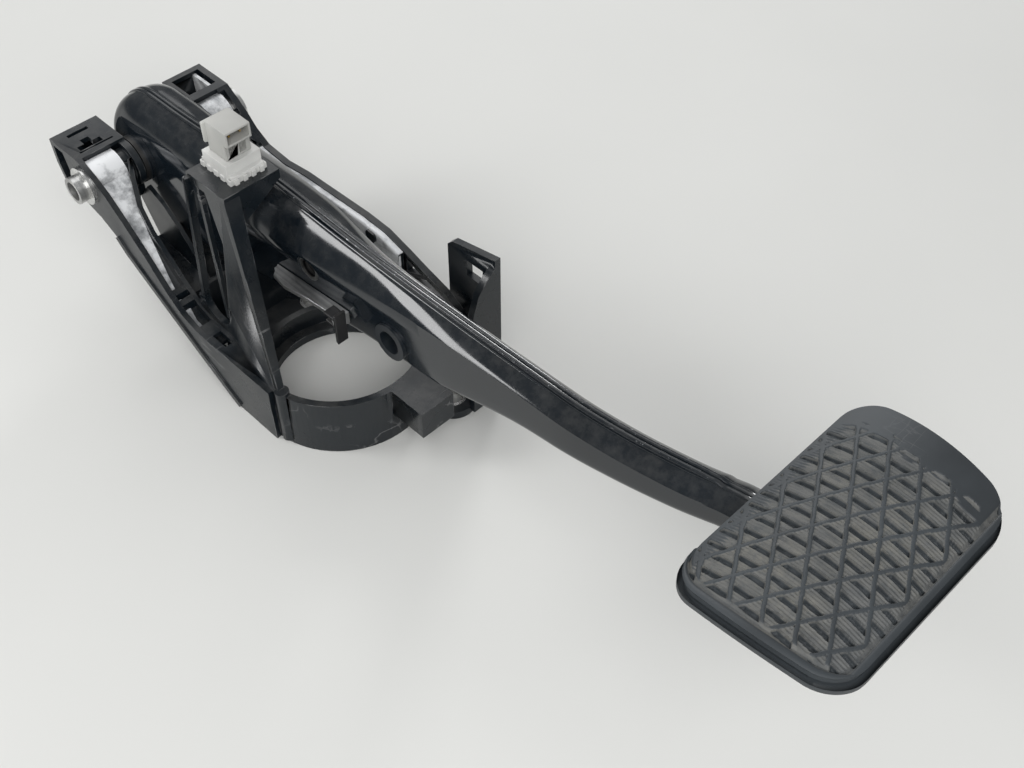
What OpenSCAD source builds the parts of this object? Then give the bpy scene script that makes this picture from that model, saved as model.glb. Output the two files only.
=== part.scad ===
// Hanging brake pedal in its pedal bracket: a stamped hollow pedal arm that turns on a tube
// held by two reinforced bracket arms, with a rubber pad, a pushrod eye and a stop light switch.
// Millimetres. The mounting plane is z = 0 with the ring's centre at the origin.
// X runs towards the pad and Y along the pivot.

/* [Ring] */
// Outer radius of the ring round the pushrod opening
ring_r = 38; // [34:0.5:44]
// Wall of the ring
ring_wall = 3; // [2:0.25:4]
// Height of the ring's front wall
ring_h = 28; // [22:0.5:34]
// Height of the ring's rear wall
ring_back_h = 13; // [8:0.5:18]
// Radius of the pushrod opening
opening_r = 30.5; // [25:0.5:33]
// Thickness of the mounting flange
flange_t = 4; // [3:0.5:6]
// Bore of the mounting holes
stud_d = 8.5; // [6:0.1:10]
// Distance of the rear mounting holes behind the ring's centre
stud_back = 46; // [44:0.5:48]
// Distance of each rear mounting hole from the middle
stud_side = 20; // [18:0.5:22]
// Distance of the front mounting hole ahead of the ring's centre
stud_front = 41; // [40:0.5:44]
// Distance of the front mounting hole from the middle
stud_right = 26; // [24:0.5:28]
// Wall of the compression sleeves in the mounting holes
sleeve_wall = 1.5; // [1:0.25:2]

/* [Bracket arms] */
// Distance from the middle to the outer face of the left arm
arm_out = 40; // [38:0.5:42]
// Distance from the middle to the outer face of the right arm
arm_right = 37; // [36:0.5:39]
// Width of the right arm's frame
frame_w = 6; // [5:0.5:8]
// Width of the left arm's channel
channel_w = 10.5; // [9:0.5:11.5]
// Wall of the left arm's channel
channel_wall = 2.5; // [2:0.25:3]
// Depth of the channel down to its steel insert
channel_deep = 3; // [2:0.25:5]
// Thickness of a frame's rim
rim_t = 3; // [2.5:0.25:4]
// Thickness of the ribs
rib_t = 2; // [1.5:0.25:2.5]
// Height of the raised rim on the left arm's outer face
rim_high = 0.8; // [0.5:0.1:1.5]
// Thickness of the steel inserts
insert_t = 1.5; // [1:0.25:2]
// Gap between the pedal's head and each bracket cheek
head_gap = 3; // [2.5:0.25:4]

/* [Pivot] */
// Distance of the pivot behind the ring's centre
pivot_back = 111; // [100:1:124]
// Height of the pivot above the mounting plane
pivot_h = 68; // [60:1:72]
// Outer diameter of the pivot tube
tube_d = 12; // [10:0.25:13]
// Bore of the pivot tube
tube_bore = 8.5; // [6:0.1:9]
// Overhang of the pivot tube past the left arm
tube_over = 6; // [4:0.5:8]
// Overhang of the pivot tube past the right arm
tube_over_right = 1.5; // [1.5:0.5:4]
// Radial clearance between the tube and its bushes
run_fit = 0.05; // [0.02:0.01:0.1]
// Wall of the bushes
bush_wall = 2; // [1.5:0.25:2.5]
// Thickness of the bushes' flanges
bush_flange = 1.8; // [1.5:0.1:2]
// Wall of the hub sleeve
hub_wall = 2.5; // [2:0.25:3]

/* [Pedal arm] */
// Distance from the pivot to the middle of the pad
reach = 342; // [320:1:366]
// Sheet of the two pedal shells
sheet = 2; // [1.5:0.25:2.5]
// Height of the welded seam over the shells
seam_h = 2.5; // [2:0.25:3.5]
// Radius of the pedal's head
head_r = 25; // [22:0.5:27]
// Half width of the pedal's head
head_w = 14; // [12:0.25:15]
// Half width of the pedal's arm
arm_w = 8.5; // [7.5:0.25:10]
// Height of the arm's top above the mounting plane
arm_top = 94; // [90:0.5:98]
// Height of the arm where it is slimmest
arm_slim = 19; // [17:0.5:24]
// Sideways offset of the pad
pad_side = 12; // [6:0.5:16]

/* [Pushrod eye] */
// Distance of the pushrod eye ahead of the ring's centre
eye_x = 46; // [42:0.5:50]
// Height of the pushrod eye above the mounting plane
eye_h = 66; // [64:0.5:68]
// Bore of the pushrod eye
eye_d = 10; // [8:0.1:12]
// Wall of the pushrod eye
eye_wall = 3; // [2:0.25:4]
// Distance of the spacer tube ahead of the ring's centre
spacer_x = 2; // [-6:0.5:8]
// Height of the spacer tube above the mounting plane
spacer_h = 76; // [72:0.5:80]
// Bore of the spacer tube
spacer_d = 8; // [6:0.1:10]

/* [Pad] */
// Width of the pad at the arm's side
pad_w = 97; // [80:1:110]
// Width of the pad at its far side
pad_w_far = 88; // [72:1:100]
// Length of the pad along the arm
pad_len = 61; // [52:1:72]
// Radius of the pad's face
pad_curve = 70; // [66:1:90]
// Height of the pad's crown above the mounting plane
pad_top = 112; // [106:0.5:118]
// Rubber over the plate
rubber_t = 3.5; // [3:0.25:5]
// Thickness of the pad's steel plate
plate_t = 2.5; // [2:0.25:3]
// Rubber lip round the plate
lip_w = 2.5; // [2:0.25:4]
// Corner radius of the pad
pad_corner = 12; // [8:0.5:16]

/* [Switch] */
// Distance of the switch platform's top over the pedal arm
deck_gap = 12; // [10:0.5:16]
// Distance of the switch behind the ring's centre
switch_back = 33.5; // [28:0.5:40]
// Distance of the switch to the left of the middle
switch_side = 14.5; // [12:0.5:18]
// Length of the switch platform
deck_x = 24; // [22:0.5:28]
// Width of the switch platform
deck_y = 26; // [24:0.5:28]
// Thickness of the switch platform
deck_t = 4; // [3:0.5:5]
// Bore of the platform for the switch's barrel
barrel_d = 10; // [9:0.25:12]
// Diameter of the plunger
plunger_d = 6; // [5:0.25:7]
// Radial clearance of the plunger in the barrel
plunger_fit = 0.08; // [0.05:0.01:0.1]
// Length of the switch's collar
collar_x = 21; // [18:0.5:22]
// Width of the switch's collar
collar_y = 17; // [15:0.5:20]
// Height of the switch's collar
collar_h = 8; // [6:0.5:10]
// Height of the collar's toothed skirt
skirt_h = 3.5; // [2.5:0.25:4.5]
// Length of the connector housing
plug_x = 11; // [9:0.5:13]
// Width of the connector housing
plug_y = 11.5; // [10:0.5:13]
// Height of the connector housing over the collar
plug_h = 13.5; // [11:0.5:16]
// Height of the connector's socket
socket_h = 4.5; // [3:0.25:6]

/* [Hidden] */
$fn = 64;
fit = 0.05;
pivot_x = -pivot_back;
pad_x = pivot_x + reach;
cheek_in = head_w + head_gap;
hub_half = cheek_in - bush_flange - 0.5;
tube_left = -arm_out - tube_over;
tube_right = arm_right + tube_over_right;
bush_d = tube_d + 2 * run_fit + 2 * bush_wall;
hub_d = bush_d + 2 * hub_wall;
pad_axis_h = pad_top - pad_curve;
plate_r = pad_curve - rubber_t;
weld_r = plate_r - plate_t;
spacer_half = arm_w + 2;
eye_half = arm_w + 0.5;
tongue_x = -20;
tongue_h = 62;
tongue_len = 41;
cap_h = pivot_h + 11.5;
deck_h = arm_top + deck_gap;
deck_mid_x = -switch_back;
deck_mid_y = -switch_side;
switch_mid_x = deck_mid_x - 1.5;
switch_mid_y = deck_mid_y + 2;
contact_h = arm_top + seam_h + 0.6;
contact_len = 13;
contact_side = switch_mid_y - plunger_d / 2 - 0.5;
plunger_tip = contact_h + sheet + 0.3;
plunger_len = 12;

// A smooth curve through a table of [place, value] pairs
function bound(v, low, high) = min(max(v, low), high);
function span_of(table, x, i = 0) =
    i >= len(table) - 2 || x < table[i + 1][0] ? i : span_of(table, x, i + 1);
function slope(table, i) =
    let (a = max(i - 1, 0), b = min(i + 1, len(table) - 1))
    (table[b][1] - table[a][1]) / (table[b][0] - table[a][0]);
function curve(table, x) =
    let (i = span_of(table, x), step = table[i + 1][0] - table[i][0])
    let (s = bound((x - table[i][0]) / step, 0, 1))
    let (rise = table[i + 1][1] - table[i][1])
    let (m0 = slope(table, i) * step, m1 = slope(table, i + 1) * step)
    table[i][1] + s * m0 + s * s * (3 * rise - 2 * m0 - m1) + s * s * s * (m0 + m1 - 2 * rise);

// The pedal arm's outline, with places given as shares of the way from the pivot to the pad
slim_low = arm_top - arm_slim;
top_table = [[0, pivot_h + head_r], [0.1, arm_top - 0.5], [0.25, arm_top + 0.5], [0.4, arm_top - 1],
    [0.55, arm_top - 1], [0.7, arm_top], [0.8, arm_top + 0.5], [0.87, arm_top + 2], [0.93, arm_top + 7],
    [1, arm_top + 13], [1.04, arm_top + 14]];
low_table = [[0, pivot_h - head_r], [0.12, pivot_h - head_r], [0.3, pivot_h - head_r + 4],
    [0.4, pivot_h - head_r + 9], [0.46, eye_h - 10.5], [0.53, eye_h - 6.5], [0.59, eye_h],
    [0.66, slim_low - 2.5], [0.76, slim_low + 2], [0.85, slim_low + 5.5], [0.92, slim_low + 10],
    [1.04, slim_low + 18]];
left_table = [[0, head_w], [0.15, head_w], [0.3, head_w - 1.5], [0.42, arm_w + 1], [0.52, arm_w], [1, arm_w]];
right_table = [[0, head_w], [0.15, head_w], [0.3, head_w - 2.5], [0.42, arm_w - 2], [0.6, arm_w - 2.5], [1, arm_w - 1]];
taper_table = [[0, 0], [0.14, 0.3], [0.27, 5.5], [0.36, 5], [0.46, 2.5], [0.56, 0.6], [1, 0.3]];
left_drop_table = [[0, 20], [0.15, 18], [0.3, 13], [0.42, 9], [0.48, 6], [0.58, 3.5], [1, 3]];
right_drop_table = [[0, 9], [0.2, 6], [0.4, 3.5], [1, 3]];
side_table = [[0, 0], [0.7, 0], [0.77, 0.15], [0.84, 0.45], [0.92, 0.85], [1, 1]];

// Height of the underside of the pad's plate at x, where it covers the arm
function plate_low(x) =
    x < pad_x - pad_len / 2 - 12 ? pad_top
    : pad_axis_h + sqrt(weld_r * weld_r - pow(max(x - pad_x, -pad_len / 2 - 2), 2));
function arm_share(x) = (x - pivot_x) / reach;
function arm_side(x) = pad_side * curve(side_table, arm_share(x));
function head_rise(x, r) = sqrt(max(r * r - pow(x - pivot_x, 2), 0));
// Top and foot of the shells, without the seam
function shell_top(x) =
    x < pivot_x ? pivot_h + head_rise(x, head_r)
    : min(curve(top_table, arm_share(x)), plate_low(x) - seam_at(x) - 0.3);
function shell_low(x) =
    x < pivot_x ? pivot_h - head_rise(x, head_r) : curve(low_table, arm_share(x));
function seam_at(x) = seam_h * bound((0.9 - arm_share(x)) / 0.05, 0.2, 1);
function seam_top(x) = x < pivot_x ? pivot_h + head_rise(x, head_r + seam_h) : shell_top(x) + seam_at(x);
function seam_low(x) = x < pivot_x ? pivot_h - head_rise(x, head_r + seam_h) : shell_low(x) - seam_h;

// Stations along the arm: close round the head, then even, then close at the pad's end
arm_end = pad_x + 12;
under_pad = pad_x - pad_len / 2 - 14;
stations = concat([for (a = [18 : 14 : 74]) pivot_x - head_r * cos(a)],
    [for (k = [0 : 21]) pivot_x + (under_pad - pivot_x) * k / 21],
    [for (k = [1 : 5]) under_pad + (arm_end - 6 - under_pad) * k / 5],
    [arm_end - 3, arm_end - 1, arm_end]);
// How full the shell's width is at a station, for its rounded nose and end
function fullness(x, inset) =
    let (nose = bound((x - inset - stations[0]) / 9, 0, 1), tail = bound((arm_end - x - inset) / 6, 0, 1))
    sqrt(1 - pow(1 - nose, 2)) * sqrt(1 - pow(1 - tail, 2));

function shell_mid(x) = (shell_top(x) + shell_low(x)) / 2;

// One cross-section of a shell, from the top of the seam to its foot, on the side of positive w
arc_steps = 4;
function section(x, width_table, drop_table, inset) =
    let (full = fullness(x, inset), share = arm_share(x))
    let (top = shell_top(x) - inset, low = shell_low(x) + inset)
    let (drop = min(curve(drop_table, share) * (0.4 + 0.6 * full), 0.45 * (top - low)))
    let (turn = min(4, 0.3 * (top - low)), seam = sheet - inset)
    let (w_in = max(curve(width_table, share) * full - inset, seam))
    let (w_foot = max(w_in - curve(taper_table, share) * full, seam))
    concat([[seam, seam_top(x)], [seam, top]],
        [for (a = [1 : arc_steps]) let (t = 90 * a / arc_steps)
            [seam + (w_in - seam) * sin(t), top - drop * (1 - cos(t))]],
        [for (a = [0 : arc_steps - 1]) let (t = 90 * a / arc_steps)
            [w_foot - min(turn, w_foot - seam) * (1 - cos(t)), low + turn - turn * sin(t)]],
        [[seam, low], [seam, seam_low(x)]]);

// A stamped shell as one closed skin: outer face, inner face and the edge between them
module stamped_shell(side, width_table, drop_table) {
    outer = [for (x = stations) section(x, width_table, drop_table, 0)];
    inner = [for (x = stations) section(x, width_table, drop_table, sheet)];
    n = len(stations);
    m = len(outer[0]);
    function place(i, p, back) =
        let (x = i == 0 ? stations[0] - seam_h : stations[i])
        [x, arm_side(stations[i]) + side * p[0], p[1]];
    points = concat([for (i = [0 : n - 1]) for (p = outer[i]) place(i, p)],
        [for (i = [0 : n - 1]) for (p = inner[i]) place(i, p)]);
    function o(i, j) = i * m + j;
    function q(i, j) = n * m + i * m + j;
    skin = [for (i = [0 : n - 2]) for (j = [0 : m - 2]) each [
        [o(i, j), o(i, j + 1), o(i + 1, j)], [o(i + 1, j), o(i, j + 1), o(i + 1, j + 1)],
        [q(i, j), q(i + 1, j), q(i, j + 1)], [q(i + 1, j), q(i + 1, j + 1), q(i, j + 1)]]];
    rims = [for (i = [0 : n - 2]) each [
        [o(i, 0), o(i + 1, 0), q(i, 0)], [q(i, 0), o(i + 1, 0), q(i + 1, 0)],
        [o(i, m - 1), q(i, m - 1), o(i + 1, m - 1)], [q(i, m - 1), q(i + 1, m - 1), o(i + 1, m - 1)]]];
    ends = [for (j = [0 : m - 2]) each [
        [o(0, j), q(0, j), o(0, j + 1)], [q(0, j), q(0, j + 1), o(0, j + 1)],
        [o(n - 1, j), o(n - 1, j + 1), q(n - 1, j)], [q(n - 1, j), o(n - 1, j + 1), q(n - 1, j + 1)]]];
    all_faces = concat(skin, rims, ends);
    polyhedron(points, side > 0 ? all_faces : [for (f = all_faces) [f[0], f[2], f[1]]]);
}

// A round bar along Y
module bar(d, from, to) {
    translate([0, from, 0])
        rotate([-90, 0, 0])
            cylinder(d = d, h = to - from);
}

// A round tube along Y
module pipe(d, bore, from, to) {
    difference() {
        bar(d, from, to);
        bar(bore, from - 1, to + 1);
    }
}

module at_pivot() {
    translate([pivot_x, 0, pivot_h])
        children();
}

module shell_holes() {
    at_pivot()
        bar(hub_d, -head_w - 5, head_w + 5);
    translate([eye_x, 0, eye_h])
        bar(eye_d + 2 * eye_wall, -head_w - 5, head_w + 5);
    translate([spacer_x, 0, spacer_h])
        bar(spacer_d + 3, -head_w - 5, head_w + 5);
}

module shell_left() {
    color([0.06, 0.065, 0.07])
        difference() {
            stamped_shell(-1, left_table, left_drop_table);
            shell_holes();
        }
}

module shell_right() {
    color([0.06, 0.065, 0.07])
        difference() {
            stamped_shell(1, right_table, right_drop_table);
            shell_holes();
        }
}

module hub_sleeve() {
    color([0.09, 0.095, 0.1])
        at_pivot()
            pipe(hub_d, bush_d, -hub_half, hub_half);
}

// A flanged bush, with its flange outside
module hub_bush(side) {
    color([0.1, 0.1, 0.1])
        at_pivot()
            mirror([0, side > 0 ? 1 : 0, 0])
                difference() {
                    union() {
                        bar(bush_d, -hub_half, -1);
                        bar(hub_d, -hub_half - bush_flange, -hub_half);
                    }
                    bar(tube_d + 2 * run_fit, -hub_half - bush_flange - 1, 0);
                }
}

module hub_bush_left() {
    hub_bush(-1);
}

module hub_bush_right() {
    hub_bush(1);
}

module spacer_tube() {
    color([0.5, 0.5, 0.5])
        translate([spacer_x, 0, spacer_h])
            pipe(spacer_d + 3, spacer_d, -spacer_half, spacer_half);
}

module eye_bush() {
    color([0.55, 0.55, 0.55])
        translate([eye_x, 0, eye_h])
            pipe(eye_d + 2 * eye_wall, eye_d, -eye_half, eye_half);
}

// The left wall of the pedal arm at the tongue's height, for what is welded to it
function wall_y(x) =
    let (high = shell_top(x) - curve(left_drop_table, arm_share(x)), low = shell_low(x) + 4)
    let (down = bound((high - tongue_h - sheet) / (high - low), 0, 1))
    arm_side(x) - curve(left_table, arm_share(x)) + down * curve(taper_table, arm_share(x)) - 0.15;
function along_wall(out) =
    [for (k = [0 : 6]) let (x = tongue_x + tongue_len * k / 6) [x, wall_y(x) - out]];
function flipped(list) = [for (k = [len(list) - 1 : -1 : 0]) list[k]];
tongue_y = wall_y(tongue_x + tongue_len) - 9;

// The stamped tongue that carries the pushrod pin's clip
module clip_tongue() {
    color([0.3, 0.31, 0.32])
        translate([0, 0, tongue_h]) {
            linear_extrude(sheet)
                polygon(concat(along_wall(0), [[tongue_x + tongue_len, tongue_y + 1],
                    [tongue_x + 36, tongue_y + 3], [tongue_x + 24, tongue_y + 2],
                    [tongue_x + 12, tongue_y], [tongue_x + 4, tongue_y + 1]]));
            translate([0, 0, -4])
                linear_extrude(5)
                    polygon(concat(along_wall(0), flipped(along_wall(sheet))));
        }
}

// The plate on the pedal's seam that works the switch
module contact_plate() {
    color([0.1, 0.1, 0.105])
        translate([switch_mid_x - contact_len / 2, 0, contact_h])
            rotate([90, 0, 90])
                linear_extrude(contact_len)
                    polygon([[0, 0], [-sheet - 0.2, 0], [-sheet - 0.2, -seam_h], [-2 * sheet - 0.2, -seam_h],
                        [-2 * sheet - 0.2, 0], [contact_side, 0], [contact_side, sheet], [0, sheet]]);
}

// The folded clip on the tongue's end: an upright leaf with two folds that grip the tongue
module pin_clip() {
    clip_x = tongue_x + tongue_len + fit;
    top = tongue_h + sheet + fit;
    color([0.03, 0.03, 0.03])
        side_slab(tongue_y + 1, wall_y(tongue_x + tongue_len) - sheet - 0.7)
            polygon([[clip_x - 6, top], [clip_x, top], [clip_x, tongue_h - fit], [clip_x - 5, tongue_h - fit],
                [clip_x - 5, tongue_h - 1.3], [clip_x, tongue_h - 1.3], [clip_x, tongue_h - 9],
                [clip_x + 1.3, tongue_h - 10], [clip_x + 1.3, top + 3], [clip_x, top + 3], [clip_x, top + 1.3],
                [clip_x - 6, top + 1.3]]);
}

// Outline of the pad seen from above, drawn in by a margin
module pad_outline(margin) {
    x0 = pad_x - pad_len / 2 + pad_corner;
    x1 = pad_x + pad_len / 2 - pad_corner;
    y0 = pad_w / 2 - pad_corner;
    y1 = pad_w_far / 2 - pad_corner;
    hull()
        for (side = [-1, 1]) {
            translate([x0, pad_side + side * y0])
                circle(pad_corner - margin);
            translate([x1, pad_side + side * y1])
                circle(pad_corner - margin);
        }
}

// The space between two radii round the pad's axis of curvature
module pad_layer(inner, outer) {
    translate([pad_x, pad_side, pad_axis_h])
        pipe(2 * outer, 2 * inner, -pad_w / 2 - 5, pad_w / 2 + 5);
}

module pad_plate() {
    color([0.07, 0.075, 0.08])
        intersection() {
            translate([0, 0, pad_axis_h])
                linear_extrude(pad_curve + 5)
                    pad_outline(lip_w);
            pad_layer(weld_r, plate_r);
        }
}

module pad_rubber() {
    color([0.11, 0.11, 0.115])
        difference() {
            intersection() {
                translate([0, 0, pad_axis_h])
                    linear_extrude(pad_curve + 5)
                        pad_outline(0);
                pad_layer(weld_r, pad_curve);
            }
            intersection() {
                translate([0, 0, pad_axis_h])
                    linear_extrude(pad_curve + 5)
                        pad_outline(lip_w - fit);
                pad_layer(weld_r - 2, plate_r);
            }
        }
}

// The bracket's outlines, which follow the pivot: side views as [x, z] and plans as [x, y]
function follow(points) = [for (p = points) [p[0] < 0 ? p[0] * pivot_back / 111 : p[0], p[1]]];
function toward_pivot(points) = follow([for (p = points) [p[0], p[1] * pivot_h / 68]]);
cap_wall = 2.2;
cap_front = pivot_x - 2;
eye_r = tube_d / 2 + 4.5;
boss_r = tube_d / 2 + 2;
rear_edge = toward_pivot([[-21, 0], [-33, 7], [-49, 17], [-66, 28], [-80, 37], [-89, 43], [-95, 49]]);
cap_edge = [[pivot_x + 6, pivot_h - 14], [pivot_x - 19, pivot_h - 8], [pivot_x - 22, pivot_h],
    [pivot_x - 23, cap_h], [cap_front, cap_h]];
left_line = concat(toward_pivot([[-104, 75.5], [-96, 71], [-85, 61.5], [-75, 52], [-62, 38], [-54, 31.5]]),
    [[-46, ring_h + 0.5], [-36, ring_h]]);
left_side = concat(rear_edge, cap_edge, left_line, [[4, ring_h], [4, 0]]);
right_line = toward_pivot([[-101, 71], [-95, 65], [-87, 60.5], [-73, 59.2], [-59, 61], [-45, 61.5], [-19, 62.2],
    [-6, 61.5], [6, 58], [18, 54], [30, 50.5], [38, 45], [45, 36], [51, 24], [51, 0]]);
right_side = concat(rear_edge, cap_edge, right_line);

// Plans of the left arm's inner wall and of the steel strip beside its outer wall
channel_y = -arm_out + channel_w;
strip_y = -arm_out + channel_wall;
wall_line = concat([[pivot_x + 2, -cheek_in]], follow([[-97, channel_y + 5.5], [-88, channel_y + 1],
    [-79, channel_y - 0.5], [-57, channel_y], [-35, channel_y]]));
strip_line = follow([[-103, channel_y + 5.5], [-96, channel_y + 3], [-88, channel_y - 0.8], [-80, strip_y + 5.3],
    [-68, strip_y + 3], [-61, strip_y + 2], [-56, strip_y + 3.4], [-51, strip_y + 2.2], [-47, strip_y + 2.6], [-42, strip_y + 1.2]]);

// A side view shape made into a slab between two values of y
module side_slab(from, to) {
    translate([0, to, 0])
        rotate([90, 0, 0])
            linear_extrude(to - from)
                children();
}

// A straight rib between two points of a flat view
module rib(a, b, width) {
    run = b - a;
    translate(a)
        rotate(atan2(run[1], run[0]))
            translate([0, -width / 2])
                square([norm(run), width]);
}

module pivot_disc(r) {
    translate([pivot_x, pivot_h])
        circle(r);
}

// Points moved sideways off a line, to its right as one walks along it
function beside(line, far) =
    [for (k = [0 : len(line) - 1])
        let (run = line[min(k + 1, len(line) - 1)] - line[max(k - 1, 0)])
        line[k] + far * [run[1], -run[0]] / norm(run)];
module band(line, near, far) {
    polygon(concat(beside(line, near), flipped(beside(line, far))));
}

// What lies over a plan and within a band under the left arm's top line
module left_layer(near, far) {
    intersection() {
        side_slab(-arm_out, -cheek_in)
            band(left_line, near, far);
        linear_extrude(cap_h)
            children();
    }
}

module channel_plan() {
    end = wall_line[len(wall_line) - 1];
    polygon(concat(wall_line, [[end[0], -arm_out], [pivot_x + 2, -arm_out]]));
}

// The left arm: a channel open to the front, with a steel strip on its floor
module left_arm() {
    side_slab(-arm_out, strip_y) {
        polygon(left_side);
        pivot_disc(boss_r);
    }
    // Raised rim along the outer wall's rear edge
    side_slab(-arm_out - rim_high, -arm_out)
        band(rear_edge, 0, rim_t);
    // Inner wall
    left_layer(0, channel_deep + 6.5)
        band(wall_line, 0, rib_t);
    // Floor
    left_layer(channel_deep + insert_t, channel_deep + insert_t + rib_t)
        channel_plan();
    // Pair of ribs that clip the strip
    for (x = [-62.5, -58.5])
        left_layer(0.4, channel_deep + 0.5)
            intersection() {
                channel_plan();
                translate([x * pivot_back / 111, -arm_out])
                    square([rib_t, channel_w]);
            }
    // Cover between the arm's foot and the ring, with a slot
    difference() {
        translate([0, 0, ring_h - rib_t])
            linear_extrude(rib_t)
                polygon([[-46, -arm_out + 1], [-8, -arm_out + 1], [-8, -ring_r + 2], [-20, -ring_r + 7], [-28, channel_y + 1],
                    [-46, channel_y - 0.7]]);
        translate([-38, strip_y + 1, ring_h - rib_t - 1])
            cube([9, 4, rib_t + 2]);
    }
}

module insert_left_space() {
    left_layer(channel_deep, channel_deep + insert_t)
        polygon(concat(strip_line, [[strip_line[9][0], strip_y], [strip_line[0][0], strip_y]]));
    side_slab(strip_y, strip_line[0][1])
        strap();
}

// The right arm: a ribbed frame, closed outside over its rear part, with a steel sheet inside
module right_arm() {
    side_slab(arm_right - frame_w, arm_right)
        difference() {
            union() {
                polygon(right_side);
                pivot_disc(boss_r);
            }
            difference() {
                offset(delta = -rim_t)
                    polygon(right_side);
                pivot_disc(boss_r);
                right_ribs();
            }
        }
    side_slab(arm_right - 1.5, arm_right)
        right_sheet();
    // Boss on the rim
    side_slab(arm_right - frame_w - 1, arm_right)
        translate([-11, pivot_h - 9.5])
            circle(d = 6);
}

module right_ribs() {
    for (ends = [[[-98, 46], [-92, 62]], [[-80, 37], [-76, 58]], [[-58, 23], [-54, 60]], [[-30, 5], [-36, 60]],
            [[5, 0], [6, 57]], [[5, 46], [21, 53]], [[5, 46], [38, 43]], [[5, 4], [34, 43]], [[26, 34], [51, 16]]])
        rib(toward_pivot(ends)[0], toward_pivot(ends)[1], rib_t);
}

// Where the right arm's sheets lie
module right_sheet() {
    intersection() {
        offset(delta = rim_t / 2 - rim_t)
            polygon(right_side);
        translate([pivot_x - 30, -1])
            square([35 - pivot_x, cap_h]);
    }
}

// The side view of a steel strap over the front of a tube's boss
module strap() {
    difference() {
        pivot_disc(boss_r + insert_t);
        pivot_disc(boss_r);
        translate([pivot_x - 20, pivot_h - 30])
            square([40, 30]);
        translate([pivot_x - 20, pivot_h - 1])
            square([18, 30]);
    }
}

// The steel sheet inside the right arm, with a strap over the tube's boss
module insert_right_space() {
    side_slab(arm_right - frame_w, arm_right - frame_w + insert_t)
        right_sheet();
    side_slab(cheek_in + rim_t, arm_right - frame_w + 0.5)
        strap();
}

module bracket_moulding() {
    color([0.04, 0.04, 0.043])
        difference() {
            union() {
                bracket_base();
                left_arm();
                right_arm();
                cap(-1, -strip_y);
                cap(1, arm_right);
                rear_apron();
                switch_tower();
                tab();
            }
            translate([0, 0, -1])
                cylinder(r = opening_r, h = flange_t + 2);
            stud_places()
                translate([0, 0, -1])
                    cylinder(d = stud_d + 2 * sleeve_wall, h = flange_t + 8);
            insert_left_space();
            insert_right_space();
            cap_windows();
            at_pivot()
                bar(tube_d, -arm_out - 5, arm_out + 5);
            translate([switch_mid_x, switch_mid_y, deck_h - deck_t - 1])
                cylinder(d = barrel_d, h = deck_t + 2);
        }
}

module stud_places() {
    for (place = [[-stud_back, -stud_side], [-stud_back, stud_side], [stud_front, stud_right]])
        translate([place[0], place[1], 0])
            children();
}

module bracket_base() {
    linear_extrude(flange_t) {
        circle(ring_r);
        polygon([[0, -arm_out + 2], [-30, -arm_out + 2], [-stud_back - 11, -30],
            [-stud_back - 11, 30], [-30, arm_right], [34, arm_right], [20, 10]]);
        translate([stud_front, stud_right])
            circle(stud_d / 2 + sleeve_wall + 4);
    }
    // Ring wall, high in front and low behind
    difference() {
        cylinder(r = ring_r, h = ring_h);
        translate([0, 0, -1])
            cylinder(r = ring_r - ring_wall, h = ring_h + 2);
        translate([-ring_r - 1, -ring_r - 1, ring_back_h])
            cube([ring_r - 14, 2 * ring_r + 2, ring_h]);
    }
    // Lug on the ring's front
    translate([ring_r - 2, -4, ring_h / 2])
        cube([20, 17, ring_h / 2]);
    // Boss on the ring's rim
    translate([8, -ring_r + 2, 2])
        cylinder(d = 6, h = ring_h);
}

// The sloped web that joins both arms behind the base, clear of the pedal's foot, with its side walls
apron_low = toward_pivot([[-59, 8], [-66, 25], [-74, 29.5], [-98, 33.5]]);
apron_top = toward_pivot([[-98, 35.5], [-74, 31.5], [-64, 28.5], [-57, 9]]);
module rear_apron() {
    side_slab(channel_y - rib_t, arm_right - frame_w + 1)
        polygon(concat([[-stud_back - 8.5, 0], [-stud_back - 11, 0]], apron_low, apron_top));
    side_slab(-cheek_in - rib_t, -cheek_in)
        polygon(toward_pivot([[-66, 29], [-74, 30.5], [-98, 34.5], [-107, 52], [-99, 62], [-90, 58], [-80, 50], [-70, 38]]));
    for (y = [channel_y - rib_t, arm_right - frame_w])
        side_slab(y, y + rib_t)
            polygon(concat(toward_pivot([[-56, 22]]), apron_low, toward_pivot([[-98, 51], [-88, 46], [-66, 32]])));
}

// The cap over a pivot end: a bearing cheek, an open box and the tube's boss
module cap(side, outer) {
    mirror([0, side < 0 ? 1 : 0, 0]) {
        side_slab(cheek_in, cheek_in + rim_t) {
            cap_outline();
            pivot_disc(eye_r);
        }
        side_slab(cheek_in, outer)
            difference() {
                cap_outline();
                offset(delta = -cap_wall)
                    cap_outline();
            }
        side_slab(cheek_in, outer)
            pivot_disc(boss_r);
    }
}

module cap_outline() {
    polygon(concat(cap_edge, [[cap_front, pivot_h + boss_r - 2], [pivot_x + 6, pivot_h]]));
}

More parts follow.
